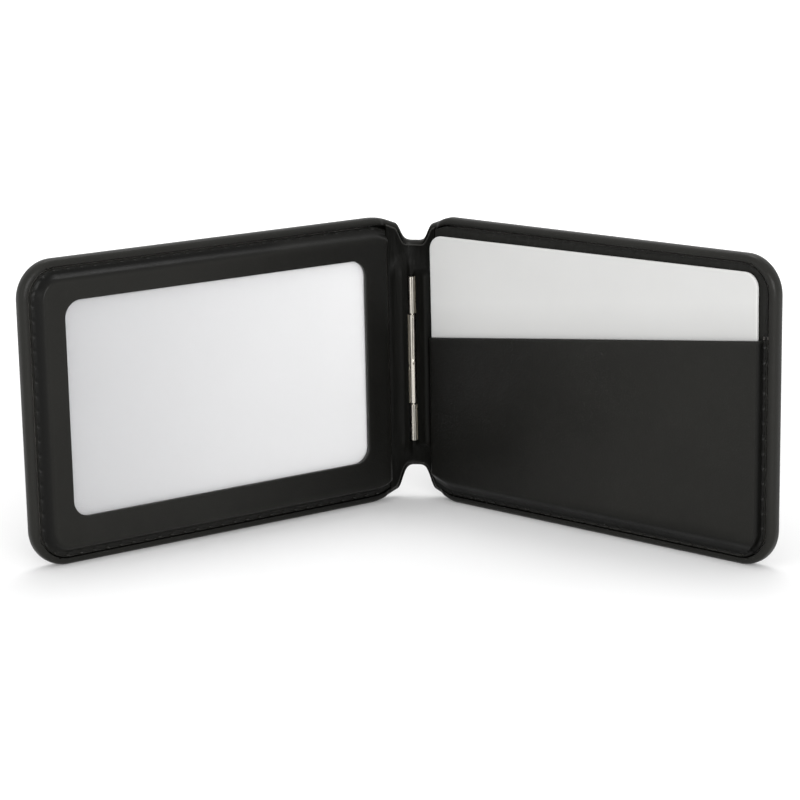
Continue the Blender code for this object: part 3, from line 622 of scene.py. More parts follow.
def leather_material(name):
    """Black leather: fine pebbled grain, creases, edges lightened by wear and by a painted highlight, and
    painted shade in the spine's fold and on the slopes beside the seams.
    """
    paint, skin = colours(), new_material(name)
    place = skin.place()
    pebbles = skin.add("ShaderNodeTexVoronoi", {"Vector": place, "Scale": 1 / GRAIN_SIZE},
                       feature="SMOOTH_F1").outputs["Distance"]
    fine = skin.noise(place, scale=5.0, detail=4.0, roughness=0.6)
    patches = skin.noise(place, scale=0.06, detail=3.0, roughness=0.55)
    # Rubbed places turn lighter: partly wear, partly a painted highlight.
    wear = skin.maths("MULTIPLY", skin.attribute("rubbed"), skin.ramp(fine, 0.35, 1.0))
    # Painted shade: the leather darkens towards the spine's fold and where the 'folded' layer marks the
    # slopes beside the seams.
    from_spine = skin.maths("ABSOLUTE", skin.axis(place, "X"))
    shade = skin.maths("MAXIMUM", skin.ramp(from_spine, 0.75, 0.0, start=8.0, end=45.0),
                       skin.attribute("folded"))
    tone = skin.blend(skin.ramp(patches, 0.0, 1.0), paint.leather, scaled(paint.leather, 1.2))
    tone = skin.blend(shade, tone, paint.leather_painted_shade)
    tone = skin.blend(wear, tone, paint.leather_wear_and_highlight)
    relief = skin.bump(pebbles, 0.5, GRAIN_DEPTH)
    relief = skin.bump(fine, 0.35, GRAIN_DEPTH / 2, relief)
    relief = skin.bump(patches, 0.5, GRAIN_DEPTH * 8, relief)
    return skin.shaded(Base_Color=tone, Roughness=skin.ramp(patches, 0.28, 0.4), Normal=relief,
                       Specular_IOR_Level=0.12)


def fibre_material(name, base, scale, detail, roughness, gloss, relief, **sockets):
    """Fibrous matter with lighter and darker flecks; relief is the strength and the depth of its bump."""
    skin = new_material(name)
    flecks = skin.noise(skin.place(), scale, detail, roughness)
    tone = skin.blend(skin.ramp(flecks, 0.0, 1.0), scaled(base, 0.6), base)
    return skin.shaded(Base_Color=tone, Roughness=gloss, Normal=skin.bump(flecks, *relief), **sockets)


def lining_material(name, base):
    """Thin smooth lining with a very fine grain, faint pull lines and a painted highlight along its folded
    edge.
    """
    skin = new_material(name)
    grain = skin.noise(skin.place(), scale=4.0, detail=4.0, roughness=0.6)
    pulls = skin.noise(skin.place(scale=(1, 1, 0.12)), scale=0.9, detail=2.0)
    tone = skin.blend(skin.ramp(pulls, 0.0, 1.0), scaled(base, 0.75), base)
    # The 'rubbed' layer here marks a painted highlight on the folded edge.
    tone = skin.blend(skin.attribute("rubbed"), tone, colours().lining_edge_highlight)
    relief = skin.bump(pulls, 0.5, 0.0003, skin.bump(grain, 0.4, 0.00004))
    return skin.shaded(Base_Color=tone, Roughness=skin.ramp(grain, 0.4, 0.55), Normal=relief,
                       Specular_IOR_Level=0.07)


def thread_material():
    """Waxed black thread with its twist."""
    skin = new_material("waxed_thread")
    twist = skin.add("ShaderNodeTexWave", {"Vector": skin.place(turn=0.6), "Scale": 2.2, "Distortion": 1.5,
                                           "Detail": 1.0}, bands_direction="DIAGONAL").outputs["Fac"]
    tone = skin.blend(twist, colours().thread, scaled(colours().thread, 3.0))
    return skin.shaded(Base_Color=tone, Roughness=skin.ramp(twist, 0.3, 0.45, start=0.0, end=1.0),
                       Specular_IOR_Level=0.16, Normal=skin.bump(twist, 0.5, 0.00005))


def metal_material(name, base, roughness, brushing=(1, 1, 14), relief=0.25):
    """Plated metal with fine brushing, dull patches and painted shade in its grooves."""
    skin = new_material(name)
    lines = skin.noise(skin.place(scale=brushing), scale=2.0, detail=3.0, roughness=0.6)
    patches = skin.noise(skin.place(), scale=0.5, detail=4.0, roughness=0.6)
    tone = skin.blend(skin.ramp(patches, 0.0, 1.0, 0.35, 0.75), base, scaled(base, 0.8))
    # Painted shade: the 'folded' layer darkens the knuckles' seam and pit.
    tone = skin.blend(skin.attribute("folded"), tone, scaled(base, 0.04))
    return skin.shaded(Base_Color=tone, Metallic=1.0, Normal=skin.bump(lines, relief, 0.00003),
                       Roughness=skin.ramp(patches, roughness, roughness + 0.12, 0.35, 0.75))


def foam_material():
    """Fine black sponge."""
    skin = new_material("foam_sponge")
    cells = skin.add("ShaderNodeTexVoronoi", {"Vector": skin.place(), "Scale": 3.5},
                     feature="F1").outputs["Distance"]
    tone = skin.blend(skin.ramp(cells, 1.0, 0.0, start=0.0), scaled(colours().foam, 0.4), colours().foam)
    return skin.shaded(Base_Color=tone, Roughness=0.9, Normal=skin.bump(cells, 0.8, 0.0002))


def card_material():
    """Smooth pale plastic with faint handling marks, and painted shade where it enters the pocket."""
    base, skin = colours().card, new_material("pale_card")
    place = skin.place()
    marks = skin.noise(place, scale=0.05, detail=4.0, roughness=0.6)
    by_hinge, outside = openings().mouth_drops
    run = (sizes().panel_reach - sizes().spine_edge) * math.cos(HALF_TURN)
    over_mouth = skin.maths("MULTIPLY_ADD", skin.axis(place, "X"), (outside - by_hinge) / run,
                            skin.axis(place, "Z"))
    mouth = 1000 * (PANEL_HEIGHT - by_hinge)
    # Painted shade: the card darkens towards the pocket's mouth.
    mouth_shade = skin.ramp(over_mouth, 1.0, 0.0, start=mouth - 2, end=mouth + 7)
    tone = skin.blend(skin.ramp(marks, 0.0, 1.0), base, scaled(base, 0.97))
    tone = skin.blend(mouth_shade, tone, scaled(base, 0.84))
    return skin.shaded(Base_Color=tone, Roughness=skin.ramp(marks, 0.42, 0.5), Specular_IOR_Level=0.4,
                       Normal=skin.bump(skin.noise(place, scale=8.0, detail=2.0), 0.15, 0.00001))


def insert_material():
    """Blank insert that fades from grey at the free end to white beside the hinge; the fade is a painted
    gradient of light.
    """
    skin = new_material("blank_insert")
    place = skin.place()
    # Painted light: the insert brightens towards the hinge.
    painted_light_fade = skin.ramp(skin.axis(place, "X"), 0.0, 1.0, start=-68.0, end=-8.0)
    marks = skin.noise(place, scale=0.04, detail=3.0)
    return skin.shaded(Base_Color=skin.blend(painted_light_fade, colours().insert_shaded_end, colours().insert),
                       Roughness=skin.ramp(marks, 0.4, 0.5), Specular_IOR_Level=0.3)


def film_material():
    """Clear glossy film, seen through to the insert."""
    skin = new_material("clear_film")
    marks = skin.noise(skin.place(), scale=0.1, detail=3.0, roughness=0.6)
    return skin.shaded(Base_Color=(*colours().film, 1.0), Alpha=0.15, Specular_IOR_Level=0.5,
                       Roughness=skin.ramp(marks, 0.12, 0.2), Normal=skin.bump(marks, 0.02, 0.0001))


def give_material(material, *names):
    """Puts one material in every slot of these frame nodes."""
    for name in names:
        for slot in bpy.data.objects[name].material_slots:
            slot.material = material


# Outer leather

RIM_SPACING = 0.0006
RIM_RINGS = (0.0001, 0.00015, 0.0002, 0.00025, 0.0003, 0.0003, 0.0002, 0.00003, 0.0009, 0.0014)
FLAT_SPACING = 0.003
BEND_SPACING = 0.00035
BEND_MARGIN = 0.004
RIM_SHARE = 0.42  # of the rim's thickness, at most, goes into its rounding
WEAR_AND_HIGHLIGHT_FROM_EDGE = 0.0003
WEAR_AND_HIGHLIGHT_WIDTH = 0.0012
BACK_WAVES = (0.02, 0.00006)  # length and depth of the back's unevenness
WAVES_START = 0.003


def outer_half_length():
    """Half the length of the outer leather's bend, along its middle."""
    size = sizes()
    return spine_arc((size.back_inner + size.panel_back) / 2)[0] * HALF_TURN


def across_of(along):
    """The panel's own across, for a distance along the flat outer leather from its middle."""
    return abs(along) - outer_half_length() + sizes().spine_edge


def wrapped(along, depth, height):
    """The outer leather's flat layout, bent round the spine."""
    across = across_of(along)
    if across >= sizes().spine_edge:
        return on_panel(1 if along > 0 else -1, across, depth, height)
    return round_spine(HALF_TURN * along / outer_half_length(), depth, height)


def outer_rises(along):
    """How far the outer leather's long edges draw in at a distance along its flat layout."""
    edge = sizes().spine_edge
    across = across_of(along)
    if across < edge:
        return edge_rises(edge * along / outer_half_length())
    return edge_rises(math.copysign(across, along))


def bent(share, depth, height, width):
    """A place across the spine, from -1 to 1; it bends wide or tight round the hinge axis."""
    side = 1 if share > 0 else -1
    along = abs(share) * (sizes().spine_edge + depth * HALF_TURN)
    if along > depth * HALF_TURN:
        tight = on_panel(side, along - depth * HALF_TURN, depth, height)
    else:
        turn = side * along / depth
        tight = Vector((depth * math.sin(turn), depth * math.cos(turn), height)) + HINGE
    return tight.lerp(round_spine(HALF_TURN * share, depth, height), width)


def outer_place(along, edge, height, inside):
    """A place on the outer leather's inside or outside, by the distance from its edge."""
    size = sizes()
    outside_place = wrapped(along, size.panel_back, height)
    if inside and edge > size.rim_width + TINY * 5:
        return wrapped(along, size.back_inner, height)
    across = across_of(along)
    if across >= size.spine_edge:
        sunk = eased((across - size.spine_edge) / size.rim_fade)
        front_place = wrapped(along, mixed(size.spine_rim_front, size.rim_front, sunk), height)
    else:
        front_place = bent(along / outer_half_length(), size.spine_rim_front, height, size.spine_width)
    through = outside_place - front_place
    fall = rounded_off(edge, min(size.rim_round, through.length * RIM_SHARE)) / through.length
    return front_place.lerp(outside_place, fall if inside else 1 - fall)


def outer_leather():
    """One piece of leather: both backs, the spine between them and the rolled rims."""
    size = sizes()
    end = size.panel_reach - size.spine_edge + outer_half_length()
    bend = size.shoulder_end + BEND_MARGIN
    shape = flat_rectangle(-end, end, 0, PANEL_HEIGHT)
    corners = [(x, z) for x in (-end, end) for z in (0, PANEL_HEIGHT)]
    round_corners(shape, corners, size.free_corner, RIM_SPACING)
    split_edges(shape, shape.edges, RIM_SPACING)
    inset_rings(shape, largest_face(shape), RIM_RINGS)
    slice_across(shape, spread(-bend, bend, BEND_SPACING))
    slice_across(shape, [*spread(-end, -bend, FLAT_SPACING), *spread(bend, end, FLAT_SPACING)])
    slice_upright(shape, spread(FLAT_SPACING, PANEL_HEIGHT - FLAT_SPACING, FLAT_SPACING))
    rubbed = shape.verts.layers.float["rubbed"]
    for corner, along, height, inside in both_layers(shape, first_inside=True):
        edge = edge_distance(across_of(along), height)
        # The 'rubbed' layer lightens the rim's outer edge: partly wear, partly a painted highlight.
        corner[rubbed] = 1 - eased(abs(edge - WEAR_AND_HIGHLIGHT_FROM_EDGE) / WEAR_AND_HIGHLIGHT_WIDTH)
        place = outer_place(along, edge, drawn_in(height, outer_rises(along)), inside)
        if not inside and edge > size.rim_round:
            away = wrapped(along, size.panel_back, 0) - wrapped(along, size.back_inner, 0)
            uneven = waviness(along, height, *BACK_WAVES) * eased((edge - size.rim_round) / WAVES_START)
            place -= uneven * away.normalized()
        corner.co = place
    piece = as_piece("outer_leather", shape, [leather_material("outer_leather_skin")])
    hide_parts("pocket_back_leather", "cover_back_leather", "spine_leather")
    edge = on_panel(1, size.spine_edge, size.panel_back, PANEL_HEIGHT / 2)
    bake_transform(piece, COVER, POCKET, start=(-edge.x, edge.y, edge.z), end=tuple(edge))


# Front leathers

SEAM_RINGS = (0.0001, 0.0001, *[0.00012] * 5)
FRAME_RINGS = (*[0.0002] * 8, 0.0005)
POCKET_RINGS = (*[0.0001] * 4, *[0.0003] * 8)
SPINE_END_CUTS = (0.0001, 0.00025, 0.0005, 0.0008, 0.0012)
MOUTH_CUTS = (0.00006, 0.00015, 0.0003, 0.0006, 0.0012, 0.0016, 0.002)
FIELD_SPACING = 0.002
SEWN_SPACING = 0.0003
WINDOW_SPACING = 0.0005
WINDOW_ROWS = 5
SPINE_OVERHANG = 0.006  # drawn past the hinge axis, so that the rings end before the cut
FRONT_WAVES = (0.012, 0.00005)  # length and depth of a front leather's unevenness
# Painted shade on the slopes beside the seams: where it starts, how dark it gets and how softly it ends.
SHADE_START = 0.0003
DARKEST = 0.95
SLOPE_SOFT, FRAME_SOFT, FLOOR_SOFT = 0.0004, 0.0012, 0.003  # how softly a slope's shade ends
CUT_WEAR_AND_HIGHLIGHT = 0.0007
SHOULDER_WEAR_AND_HIGHLIGHT = 0.001
MOUTH_WEAR_AND_HIGHLIGHT = 0.0009
CORNER_SOFT = 0.008


def start_front_leather(ring_steps, first):
    """Flat layout of a front leather with rings along its seam, cut off beside the spine."""
    size = sizes()
    end = size.panel_reach - size.seam_edge
    low, high = size.seam_edge, PANEL_HEIGHT - size.seam_edge
    shape = flat_rectangle(-SPINE_OVERHANG, end, low, high)
    round_corners(shape, [(end, low), (end, high)], size.free_corner - size.seam_edge, SEWN_SPACING)
    split_edges(shape, shape.edges, SEWN_SPACING)
    inset_rings(shape, largest_face(shape), [*SEAM_RINGS, *ring_steps])
    slice_at(shape, (first, 0, 0), (-1, 0, 0), keep="inner")
    slice_across(shape, [first + step for step in SPINE_END_CUTS])
    return shape


def front_depth(across, height, inside, raised, leather, spine_fall, holes):
    """Depth of a front leather; raised is 0 on its sewn strip and 1 on its field."""
    size = sizes()
    depth = mixed(size.seam_depth, size.front, raised) + spine_fall * raised
    if inside:
        return min(depth + mixed(size.seam_leather, leather, raised), size.seam_depth + size.seam_leather)
    depth += rounded_off(edge_distance(across, height) - size.seam_edge, size.leather_edge)
    depth += seam_pull(across, height, holes)
    return depth + waviness(across, height, *FRONT_WAVES) * raised


def slope_raise(distance, inside, slope):
    """How far a front leather has risen, by the distance from the panel's edge."""
    size = sizes()
    shift = size.inside_shift if inside else 0.0
    return eased((distance - shift - size.seam_edge - size.seam_width) / slope)


def slope_shade(edge, slope, softness=SLOPE_SOFT):
    """How much painted shade a front leather gets on the slope inside its seam."""
    size = sizes()
    start = size.seam_edge + size.seam_width / 2
    end = size.seam_edge + size.seam_width + slope
    return DARKEST * eased((edge - start) / SHADE_START) * (1 - eased((edge - end) / softness + 0.5))


def lay_front_leather(shape, side, depth_of, wear_and_highlight_of, painted_shade_of):
    """Gives both layers of a front leather their depth, draws them in and puts them on the panel."""
    rubbed, folded = [shape.verts.layers.float[name] for name in ("rubbed", "folded")]
    for corner, across, height, inside in both_layers(shape):
        # The 'rubbed' layer takes wear and a painted highlight, the 'folded' layer painted shade.
        corner[rubbed] = wear_and_highlight_of(across, height)
        corner[folded] = painted_shade_of(across, height)
        corner.co.y = depth_of(across, height, inside)
        corner.co.z = drawn_in(height, edge_rises(across))
    put_on_panel(shape.verts, side)


def rounded_window(across, height, grow):
    """The place on the window's outline, grown by some length, that is nearest to a place."""
    opening = openings()
    radius = opening.window_corner
    low_x = opening.window_from_hinge + radius
    high_x = sizes().panel_reach - opening.window_from_free_end - radius
    low_z = opening.window_from_bottom + radius
    high_z = PANEL_HEIGHT - opening.window_from_top - radius
    x = max(low_x, min(high_x, across))
    z = max(low_z, min(high_z, height))
    away = Vector((across - x, height - z))
    if away.length < TINY:
        return across, height
    away = away.normalized() * (radius + grow)
    return x + away.x, z + away.y


def fit_to_window(face, grow):
    """Moves a face's corners to the window's outline."""
    for corner in face.verts:
        corner.co.x, corner.co.z = rounded_window(corner.co.x, corner.co.z, grow)


def is_window_wall(face):
    """Whether a face joins the two layers at the window: its normal lies in the panel's plane."""
    face.normal_update()
    into_panel = Vector((-math.sin(HALF_TURN), math.cos(HALF_TURN), 0))
    return abs(face.normal.dot(into_panel)) < 0.3


def window_frame_leather():
    """Front leather of the cover, with its window."""
    size = sizes()
    holes = needle_holes()
    wall = openings().window_cut_round
    shape = start_front_leather(FRAME_RINGS, size.panel_start)
    split_edges(shape, largest_face(shape).edges, WINDOW_SPACING)
    face = largest_face(shape)
    ring = ring_inside(shape, face)
    radial = [edge for edge in shape.edges if len(edge.link_faces) == 2 and ring.issuperset(edge.link_faces)]
    fit_to_window(face, 2 * wall)
    bmesh.ops.subdivide_edges(shape, edges=radial, cuts=WINDOW_ROWS)
    for grow in (wall, wall / 2, wall / 5, 0):
        ring_inside(shape, face)
        fit_to_window(face, grow)
    cut_edge = list(face.edges)
    bmesh.ops.delete(shape, geom=[face], context="FACES")

    def distance_to_window(across, height):
        return math.dist(rounded_window(across, height, 0), (across, height))

    def depth_of(across, height, inside):
        raised = slope_raise(edge_distance(across, height), inside, size.frame_slope)
        start = size.panel_start + (size.inside_shift if inside else 0.0)
        fall = rounded_off(across - start, size.frame_end_round)
        depth = front_depth(across, height, inside, raised, size.frame_leather, fall, holes)
        return depth if inside else depth + rounded_off(distance_to_window(across, height), wall)

    # Lighter by the window's cut and along the slope's shoulder: partly wear, partly a painted highlight.
    def wear_and_highlight_of(across, height):
        near_window = 1 - eased(distance_to_window(across, height) / CUT_WEAR_AND_HIGHLIGHT)
        off_shoulder = edge_distance(across, height) - size.seam_edge - size.seam_width - size.frame_slope
        return max(0.5 * near_window, 0.35 * (1 - eased(abs(off_shoulder) / SHOULDER_WEAR_AND_HIGHLIGHT)))

    def painted_shade_of(across, height):
        # Painted shade on the slope; along the bottom edge it is only a fifth as dark.
        below = eased((size.panel_reach - across - height) / CORNER_SOFT + 0.5)
        shade = slope_shade(edge_distance(across, height), size.frame_slope, FRAME_SOFT)
        return shade * mixed(1.0, 0.2, below)

    lay_front_leather(shape, -1, depth_of, wear_and_highlight_of, painted_shade_of)
    for face in {face for edge in cut_edge for face in edge.link_faces if is_window_wall(face)}:
        face.material_index = 1
    cut = fibre_material("cut_leather_edge", colours().cut_leather, 3.5, 5.0, 0.7, gloss=0.6,
                         relief=(0.6, 0.00008), Specular_IOR_Level=0.3)
    piece = as_piece("window_frame", shape, [leather_material("frame_leather_skin"), cut])
    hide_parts("window_frame_leather")
    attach(piece, COVER)


def mouth_height(across):
    """Height of the pocket's slanted mouth."""
    size = sizes()
    share = (across - size.spine_edge) / (size.panel_reach - size.spine_edge)
    return PANEL_HEIGHT - mixed(*openings().mouth_drops, share)


def pocket_front_leather():
    """Pocket of the right panel, cut off along its slanted mouth."""
    size, opening = sizes(), openings()
    holes = needle_holes()
    by_hinge, outside = opening.mouth_drops
    shape = start_front_leather(POCKET_RINGS, size.pocket_start)
    slice_across(shape, [size.pocket_start + size.pocket_wall + step for step in (0, 0.00002)])
    up = Vector((outside - by_hinge, 0, size.panel_reach - size.spine_edge)).normalized()
    mouth = Vector((size.spine_edge, 0, PANEL_HEIGHT - by_hinge))
    slice_at(shape, mouth, up, keep="inner")
    for step in MOUTH_CUTS:
        slice_at(shape, mouth - step * up, up)
    slice_across(shape, spread(size.panel_start, size.panel_reach, FIELD_SPACING))
    slice_upright(shape, spread(size.seam_edge, PANEL_HEIGHT, FIELD_SPACING))

    def depth_of(across, height, inside):
        raised = min(slope_raise(edge_distance(across, height), inside, size.pocket_slope),
                     slope_raise(height, inside, size.pocket_floor_slope))
        near_spine = across - size.pocket_start
        fall = 0.0 if inside else rounded_off(near_spine, size.pocket_leather * 0.7)
        depth = front_depth(across, height, inside, raised, size.pocket_leather, fall, holes)
        if not inside:
            return depth + rounded_off(mouth_height(across) - height, opening.mouth_round)
        if near_spine < size.pocket_wall + TINY * 5:
            return max(depth, opening.lining_front - 0.00005)
        return depth

    # Lighter along the mouth's folded edge: partly wear, partly a painted highlight.
    def wear_and_highlight_of(across, height):
        return 0.6 * (1 - eased((mouth_height(across) - height) / MOUTH_WEAR_AND_HIGHLIGHT))

    # Painted shade on the slopes beside the seam and above the pocket's floor.
    def painted_shade_of(across, height):
        return max(slope_shade(edge_distance(across, height), size.pocket_slope),
                   slope_shade(height, size.pocket_floor_slope, FLOOR_SOFT))

    lay_front_leather(shape, 1, depth_of, wear_and_highlight_of, painted_shade_of)
    piece = as_piece("pocket_front", shape, [leather_material("pocket_leather_skin")])
    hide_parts("pocket_leather")
    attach(piece, POCKET)


# Linings

LINING_EDGE_CUTS = (0.00005, 0.0001, 0.00017, 0.00025, 0.00035, 0.0005, 0.0008, 0.0012, 0.0017)
LINING_PLAY = 0.00045  # between the lining and the seam, below the mouth
LINING_STEP_UP = 0.0004  # above the mouth's outer end
LINING_CORNER = 0.005
LINING_SPACING = 0.0015
LINING_DIP = 0.7  # of the lining's thickness, at most, is pulled in by the thread
CLOSE_SPACING = 0.00025
EDGE_HIGHLIGHT_WIDTH = 0.0003


def pocket_lining_sheet():
    """Lining behind the card; above the mouth it reaches the seam."""
    size, opening = sizes(), openings()
    inner = size.seam_edge + size.seam_width
    floor = inner + size.pocket_floor_slope / 2
    end, top = size.panel_reach - size.seam_edge, PANEL_HEIGHT - size.seam_edge
    narrow_end = size.panel_reach - inner - LINING_PLAY
    step_height = PANEL_HEIGHT - opening.mouth_drops[1] + LINING_STEP_UP
    holes = needle_holes()
    shape = flat_rectangle(size.panel_start, end, floor, top)
    round_corners(shape, [(end, top)], size.free_corner - size.seam_edge, 0.0004)
    slice_across(shape, [narrow_end])
    slice_upright(shape, [step_height])
    clear_faces(shape, lambda across, height: across > narrow_end and height < step_height)
    round_corners(shape, [(narrow_end, floor)], LINING_CORNER, 0.0008)
    sewn_start, sewn_top = size.panel_reach - 0.004, top - 0.003
    slice_across(shape, [*spread(size.panel_start, sewn_start, LINING_SPACING),
                         *spread(sewn_start, end, CLOSE_SPACING)])
    slice_upright(shape, [*spread(floor, sewn_top, LINING_SPACING), *spread(sewn_top, top, CLOSE_SPACING)])
    for corner, across, height, inside in both_layers(shape):
        pull = opening.lining
        if not inside:
            pull = min(seam_pull(across, height, holes), opening.lining * LINING_DIP)
        corner.co.y = opening.lining_front + pull
        corner.co.z = drawn_in(height, edge_rises(across))
    area = sum(face.calc_area() for face in shape.faces) / 2
    put_on_panel(shape.verts, 1)
    cloth = lining_material("pocket_lining_cloth", colours().pocket_lining)
    piece = as_piece("pocket_lining_sheet", shape, [cloth])
    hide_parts("pocket_lining")
    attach(piece, POCKET)


def slot_share():
    """Half the slot's width as a share of half the spine."""
    return openings().flap_start / sizes().spine_edge


def slot_ends():
    """Heights of the slot's lower and upper end."""
    return HINGE_LOW - openings().slot_play, HINGE_HIGH + openings().slot_play


def lining_place(share, height):
    """The spine lining's middle surface, from -1 to 1 across the spine."""
    size, opening = sizes(), openings()
    panel, side = (1, 1) if share > 0 else (0, -1)
    depth = opening.lining_front + opening.lining / 2
    rises = edge_rises(share * size.spine_edge, opening.lining_inset)
    edge = min(height - rises[0], PANEL_HEIGHT - rises[1] - height)
    width = mixed(size.spine_width, 1.0, eased(edge / opening.lining_settle))
    lip = opening.lining_lip * (1 - eased(abs(edge - opening.lining_lip) / (2 * opening.lining_lip)))
    lying = bent(share, depth - lip, height, width)
    slot = slot_share()
    if abs(share) < slot:
        across = opening.flap_start * abs(share) / slot
    else:
        across = mixed(opening.flap_start, size.spine_edge, (abs(share) - slot) / (1 - slot))
    bend, foot = opening.flap_bends[panel], opening.flap_feet[panel]
    fall = eased((across - bend) / (foot - bend))
    raised = on_panel(side, across, mixed(opening.flap_depth, depth, fall), height)
    low, high = slot_ends()
    ease = opening.flap_eases[panel]
    raised_share = min(eased((height - low) / ease + 1), eased((high - height) / ease + 1))
    return lying.lerp(raised, raised_share * eased(abs(share) / slot))


def settled(height, rises):
    """Moves the rows beyond the slot's ends so that they follow the drawn-in edges."""
    slot_low, slot_high = slot_ends()
    if height < slot_low:
        return height + rises[0] * (1 - height / slot_low)
    if height > slot_high:
        return height - rises[1] * (1 - (PANEL_HEIGHT - height) / (PANEL_HEIGHT - slot_high))
    return height


def spine_lining_sheet():
    """Lining across the spine, with a folded edge at each notch and a slot for the hinge's barrel."""
    size, opening = sizes(), openings()
    depth = opening.lining_front + opening.lining / 2
    half = spine_arc(depth)[0] * HALF_TURN
    slot = slot_share() * half
    slot_low, slot_high = slot_ends()
    near_edge = LINING_EDGE_CUTS[-1]
    shape = flat_rectangle(-half, half, 0, PANEL_HEIGHT)
    slice_across(shape, [-slot, slot, *spread(-half, -slot, CLOSE_SPACING),
                         *spread(-slot, slot, CLOSE_SPACING), *spread(slot, half, CLOSE_SPACING)])
    slice_upright(shape, [*LINING_EDGE_CUTS, *[PANEL_HEIGHT - step for step in LINING_EDGE_CUTS],
                          slot_low, slot_high, *spread(near_edge, slot_low, 0.0005),
                          *spread(slot_low, slot_high, 0.0004),
                          *spread(slot_high, PANEL_HEIGHT - near_edge, 0.0005)])
    clear_faces(shape, lambda along, height: abs(along) < slot and slot_low < height < slot_high)
    rubbed = shape.verts.layers.float["rubbed"]
    for corner in shape.verts:
        along, _, height = corner.co
        # Here the 'rubbed' layer holds the painted highlight along the lining's folded edges.
        corner[rubbed] = 1 - eased(min(height, PANEL_HEIGHT - height) / EDGE_HIGHLIGHT_WIDTH)
        rises = edge_rises(along / half * size.spine_edge, opening.lining_inset)
        corner.co = lining_place(along / half, settled(height, rises))
    area = sum(face.calc_area() for face in shape.faces)
    thicken(shape, opening.lining)
    cloth = lining_material("spine_lining_cloth", colours().lining)
    piece = as_piece("spine_lining_sheet", shape, [cloth], smooth_angle=50)
    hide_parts("spine_lining")
    edge = on_panel(1, size.spine_edge, depth, PANEL_HEIGHT / 2)
    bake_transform(piece, COVER, POCKET, start=(-edge.x, edge.y, edge.z), end=tuple(edge))


# Stitches and pads

STITCH_SLANT = 0.1
THREAD_FLATNESS = 0.8
THREAD_DIVE = 1.2  # of a needle hole's depth
PAD_SPACING = 0.0012
PAD_RINGS = (0.0001, 0.0002, 0.0004, 0.001)
PAD_ROUNDING = 0.45  # of the pad's thickness
PAD_WAVES = (0.015, 0.00003)


def stitch_body(shape, side, across, height, turn, depth):
    """One stitch: a short thread whose ends dive into their holes."""
    sewing = stitching()
    made = bmesh.ops.create_uvsphere(shape, u_segments=8, v_segments=7, radius=sewing.thread_radius)["verts"]
    half = sewing.stitch / 2
    for corner in made:
        x, y, z = corner.co
        if abs(z) > TINY:
            z += math.copysign(half - sewing.thread_radius, z)
        corner.co = (z, y * THREAD_FLATNESS + sewing.hole_depth * THREAD_DIVE * (z / half) ** 4, x)
    slant = Matrix.Rotation(-turn - STITCH_SLANT, 3, "Y")
    bmesh.ops.rotate(shape, verts=made, cent=(0, 0, 0), matrix=slant)
    bmesh.ops.translate(shape, verts=made, vec=(across, depth, height))
    put_on_panel(made, side)


def panel_stitches(name, body, depth_of, replaced):
    """All stitches of one panel's seam."""
    total, place = seam_route()
    count = round(total / stitching().pitch)
    shape = bmesh.new()
    for number in range(count):
        across, height, turn = place(total * (number + 0.5) / count)
        stitch_body(shape, SIDES[body], across, height, turn, depth_of(height))
    piece = as_piece(name, shape, [thread_material()], smooth_angle=80)
    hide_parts(replaced)
    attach(piece, body)


def foam_pad_piece(name, body, replaced):
    """Thin foam pad under the outer leather, crowned a little and soft at its edges."""
    size = sizes()
    start, end = size.pad_start, size.panel_reach - size.seam_edge
    low, high = size.seam_edge, PANEL_HEIGHT - size.seam_edge
    shape = flat_rectangle(start, end, low, high)
    round_corners(shape, [(end, low), (end, high)], size.free_corner - size.seam_edge, PAD_SPACING)
    split_edges(shape, shape.edges, PAD_SPACING)
    inset_rings(shape, largest_face(shape), PAD_RINGS)
    slice_across(shape, spread(start, end, 0.004))
    slice_upright(shape, spread(low, high, 0.004))
    for corner, across, height, inside in both_layers(shape):
        inset = min(edge_distance(across, height) - size.seam_edge, across - start)
        soft = rounded_off(inset, (size.pad_back - size.pad_front) * PAD_ROUNDING)
        uneven = waviness(across, height, *PAD_WAVES)
        corner.co.y = size.pad_back - soft - uneven if inside else size.pad_front + soft
        corner.co.z = drawn_in(height, edge_rises(across))
    put_on_panel(shape.verts, SIDES[body])
    piece = as_piece(name, shape, [foam_material()])
    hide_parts(replaced)
    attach(piece, body)


# Hinge and card

KNUCKLE_STEPS = 72
MARK_ROWS = 24
PIT_HALF = 0.0001
RIVET_SPLITS = 17
RIVET_MARGIN = 1.6  # times the hole's radius: half the square that the hole is opened in


def rivet_hole(shape, across, height):
    """Opens a round hole in a flat plate, inside the square face at that place."""
    near = Vector((across, 0, height))

    def nearest():
        return min(shape.faces, key=lambda face: (face.calc_center_bounds() - near).length)

    split_edges(shape, nearest().edges, nearest().calc_perimeter() / RIVET_SPLITS)
    face = nearest()
    ring_inside(shape, face)
    for corner in face.verts:
        corner.co = near + (corner.co - near).normalized() * hinge_sizes().rivet_hole
    bmesh.ops.delete(shape, geom=[face], context="FACES")


def leaf_depth(across):
    """Depth of a hinge leaf's middle."""
    metal = hinge_sizes()
    share = (across - metal.leaf_bend) / (metal.leaf_foot - metal.leaf_bend)
    return mixed(metal.leaf_depth_at_barrel, metal.leaf_depth_in_panel, max(0.0, min(1.0, share)))


